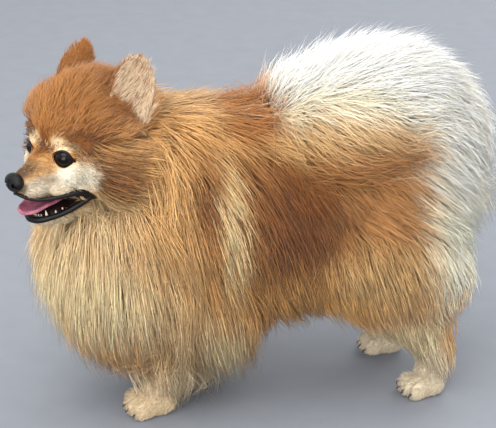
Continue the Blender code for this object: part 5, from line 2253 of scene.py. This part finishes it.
@dataclass
class Studio:
    """Floor, soft light and the camera at the photograph's viewing angle."""

    azimuth: float = math.radians(10.0)
    elevation: float = math.radians(22.0)
    distance: float = 1.30
    target: Triple = (-0.02, 0.0, 0.125)
    metres_a_pixel: float = 0.00075
    width: int = 496
    shift: tuple[int, int] = (-7, 8)
    sensor: float = 36.0
    lit: Triple = (0.0, 0.0, 0.12)
    sky: tuple = (0.93, 0.94, 0.96, 1.0)
    sky_strength: float = 1.15
    floor_half: float = 4.0

    def camera(self) -> None:
        """The camera."""
        back = Vector((math.cos(self.azimuth) * math.cos(self.elevation),
                       -math.sin(self.azimuth) * math.cos(self.elevation), math.sin(self.elevation)))
        lens = bpy.data.cameras.new("camera")
        lens.sensor_width = self.sensor
        lens.lens = self.distance / self.metres_a_pixel / self.width * self.sensor
        lens.shift_x, lens.shift_y = (value / self.width for value in self.shift)
        made = bpy.data.objects.new("camera", lens)
        bpy.context.scene.collection.objects.link(made)
        place = Vector(self.target) + back * self.distance + FRAME_SHIFT
        made.matrix_world = Matrix.Translation(place) @ back.to_track_quat("Z", "Y").to_matrix().to_4x4()
        bpy.context.scene.camera = made

    def lights(self) -> None:
        """Soft light from above and from the front, as under an even sky."""
        for name, place, power, size in (
            ("sky_light", (0.7, -0.4, 1.8), 34.0, 1.8),
            ("front_light", (1.9, -0.8, 0.5), 39.0, 1.6),
            ("back_light", (-1.2, 1.0, 1.3), 14.0, 1.2),
        ):
            light = bpy.data.lights.new(name, "AREA")
            light.energy = power
            light.size = size
            made = bpy.data.objects.new(name, light)
            bpy.context.scene.collection.objects.link(made)
            made.location = place
            made.visible_camera = False
            made.rotation_euler = (Vector(place) - Vector(self.lit)).to_track_quat("Z", "Y").to_euler()
        world = bpy.data.worlds.new("soft_sky")
        world.use_nodes = True
        background = world.node_tree.nodes["Background"]
        background.inputs[0].default_value = self.sky
        background.inputs[1].default_value = self.sky_strength
        bpy.context.scene.world = world
        bpy.context.scene.view_settings.view_transform = "Standard"

    def floor(self) -> None:
        """A plain pale floor."""
        form = bmesh.new()
        bmesh.ops.create_grid(form, x_segments=8, y_segments=8, size=self.floor_half)
        made = object_of("floor", form)
        made.data.materials.append(FloorFinish().made())


COAT_PIECES = {
    "coat_face": ((Zone.MUZZLE, Zone.FACE), "cream_coat", 0),
    "coat_head": ((Zone.CROWN, Zone.CHEEK), "coat", 0),
    "coat_ruff_left": ((Zone.RUFF,), "coat", 1),
    "coat_ruff_right": ((Zone.RUFF,), "coat", -1),
    "coat_flank_left": ((Zone.FLANK, Zone.BELLY), "coat", 1),
    "coat_flank_right": ((Zone.FLANK, Zone.BELLY), "coat", -1),
    "coat_rump": ((Zone.RUMP,), "coat", 0),
    "coat_tail_left": ((Zone.TAIL,), "pale_coat", 1),
    "coat_tail_right": ((Zone.TAIL,), "pale_coat", -1),
    "coat_thighs": ((Zone.THIGH,), "coat", 0),
    "coat_legs": ((Zone.LEG, Zone.PAW), "cream_coat", 0),
}
EAR_COAT_PIECES = {
    False: ("coat_ears", "coat", None),
    True: ("coat_ears_inside", "pale_coat", (228, 203, 170)),
}


def main() -> None:
    """Builds the stage and the dog, and reports each piece."""
    logging.basicConfig(level=logging.INFO, format="%(message)s")
    studio = Studio()
    studio.camera()
    studio.lights()
    studio.floor()

    dog = Dog()
    skin = dog.body.skin()
    ears = ear_leaves()
    dog.build_coat(ears, skin)
    dog.build_skin(ears, skin)
    dog.build_face()


if __name__ == "__main__":
    main()
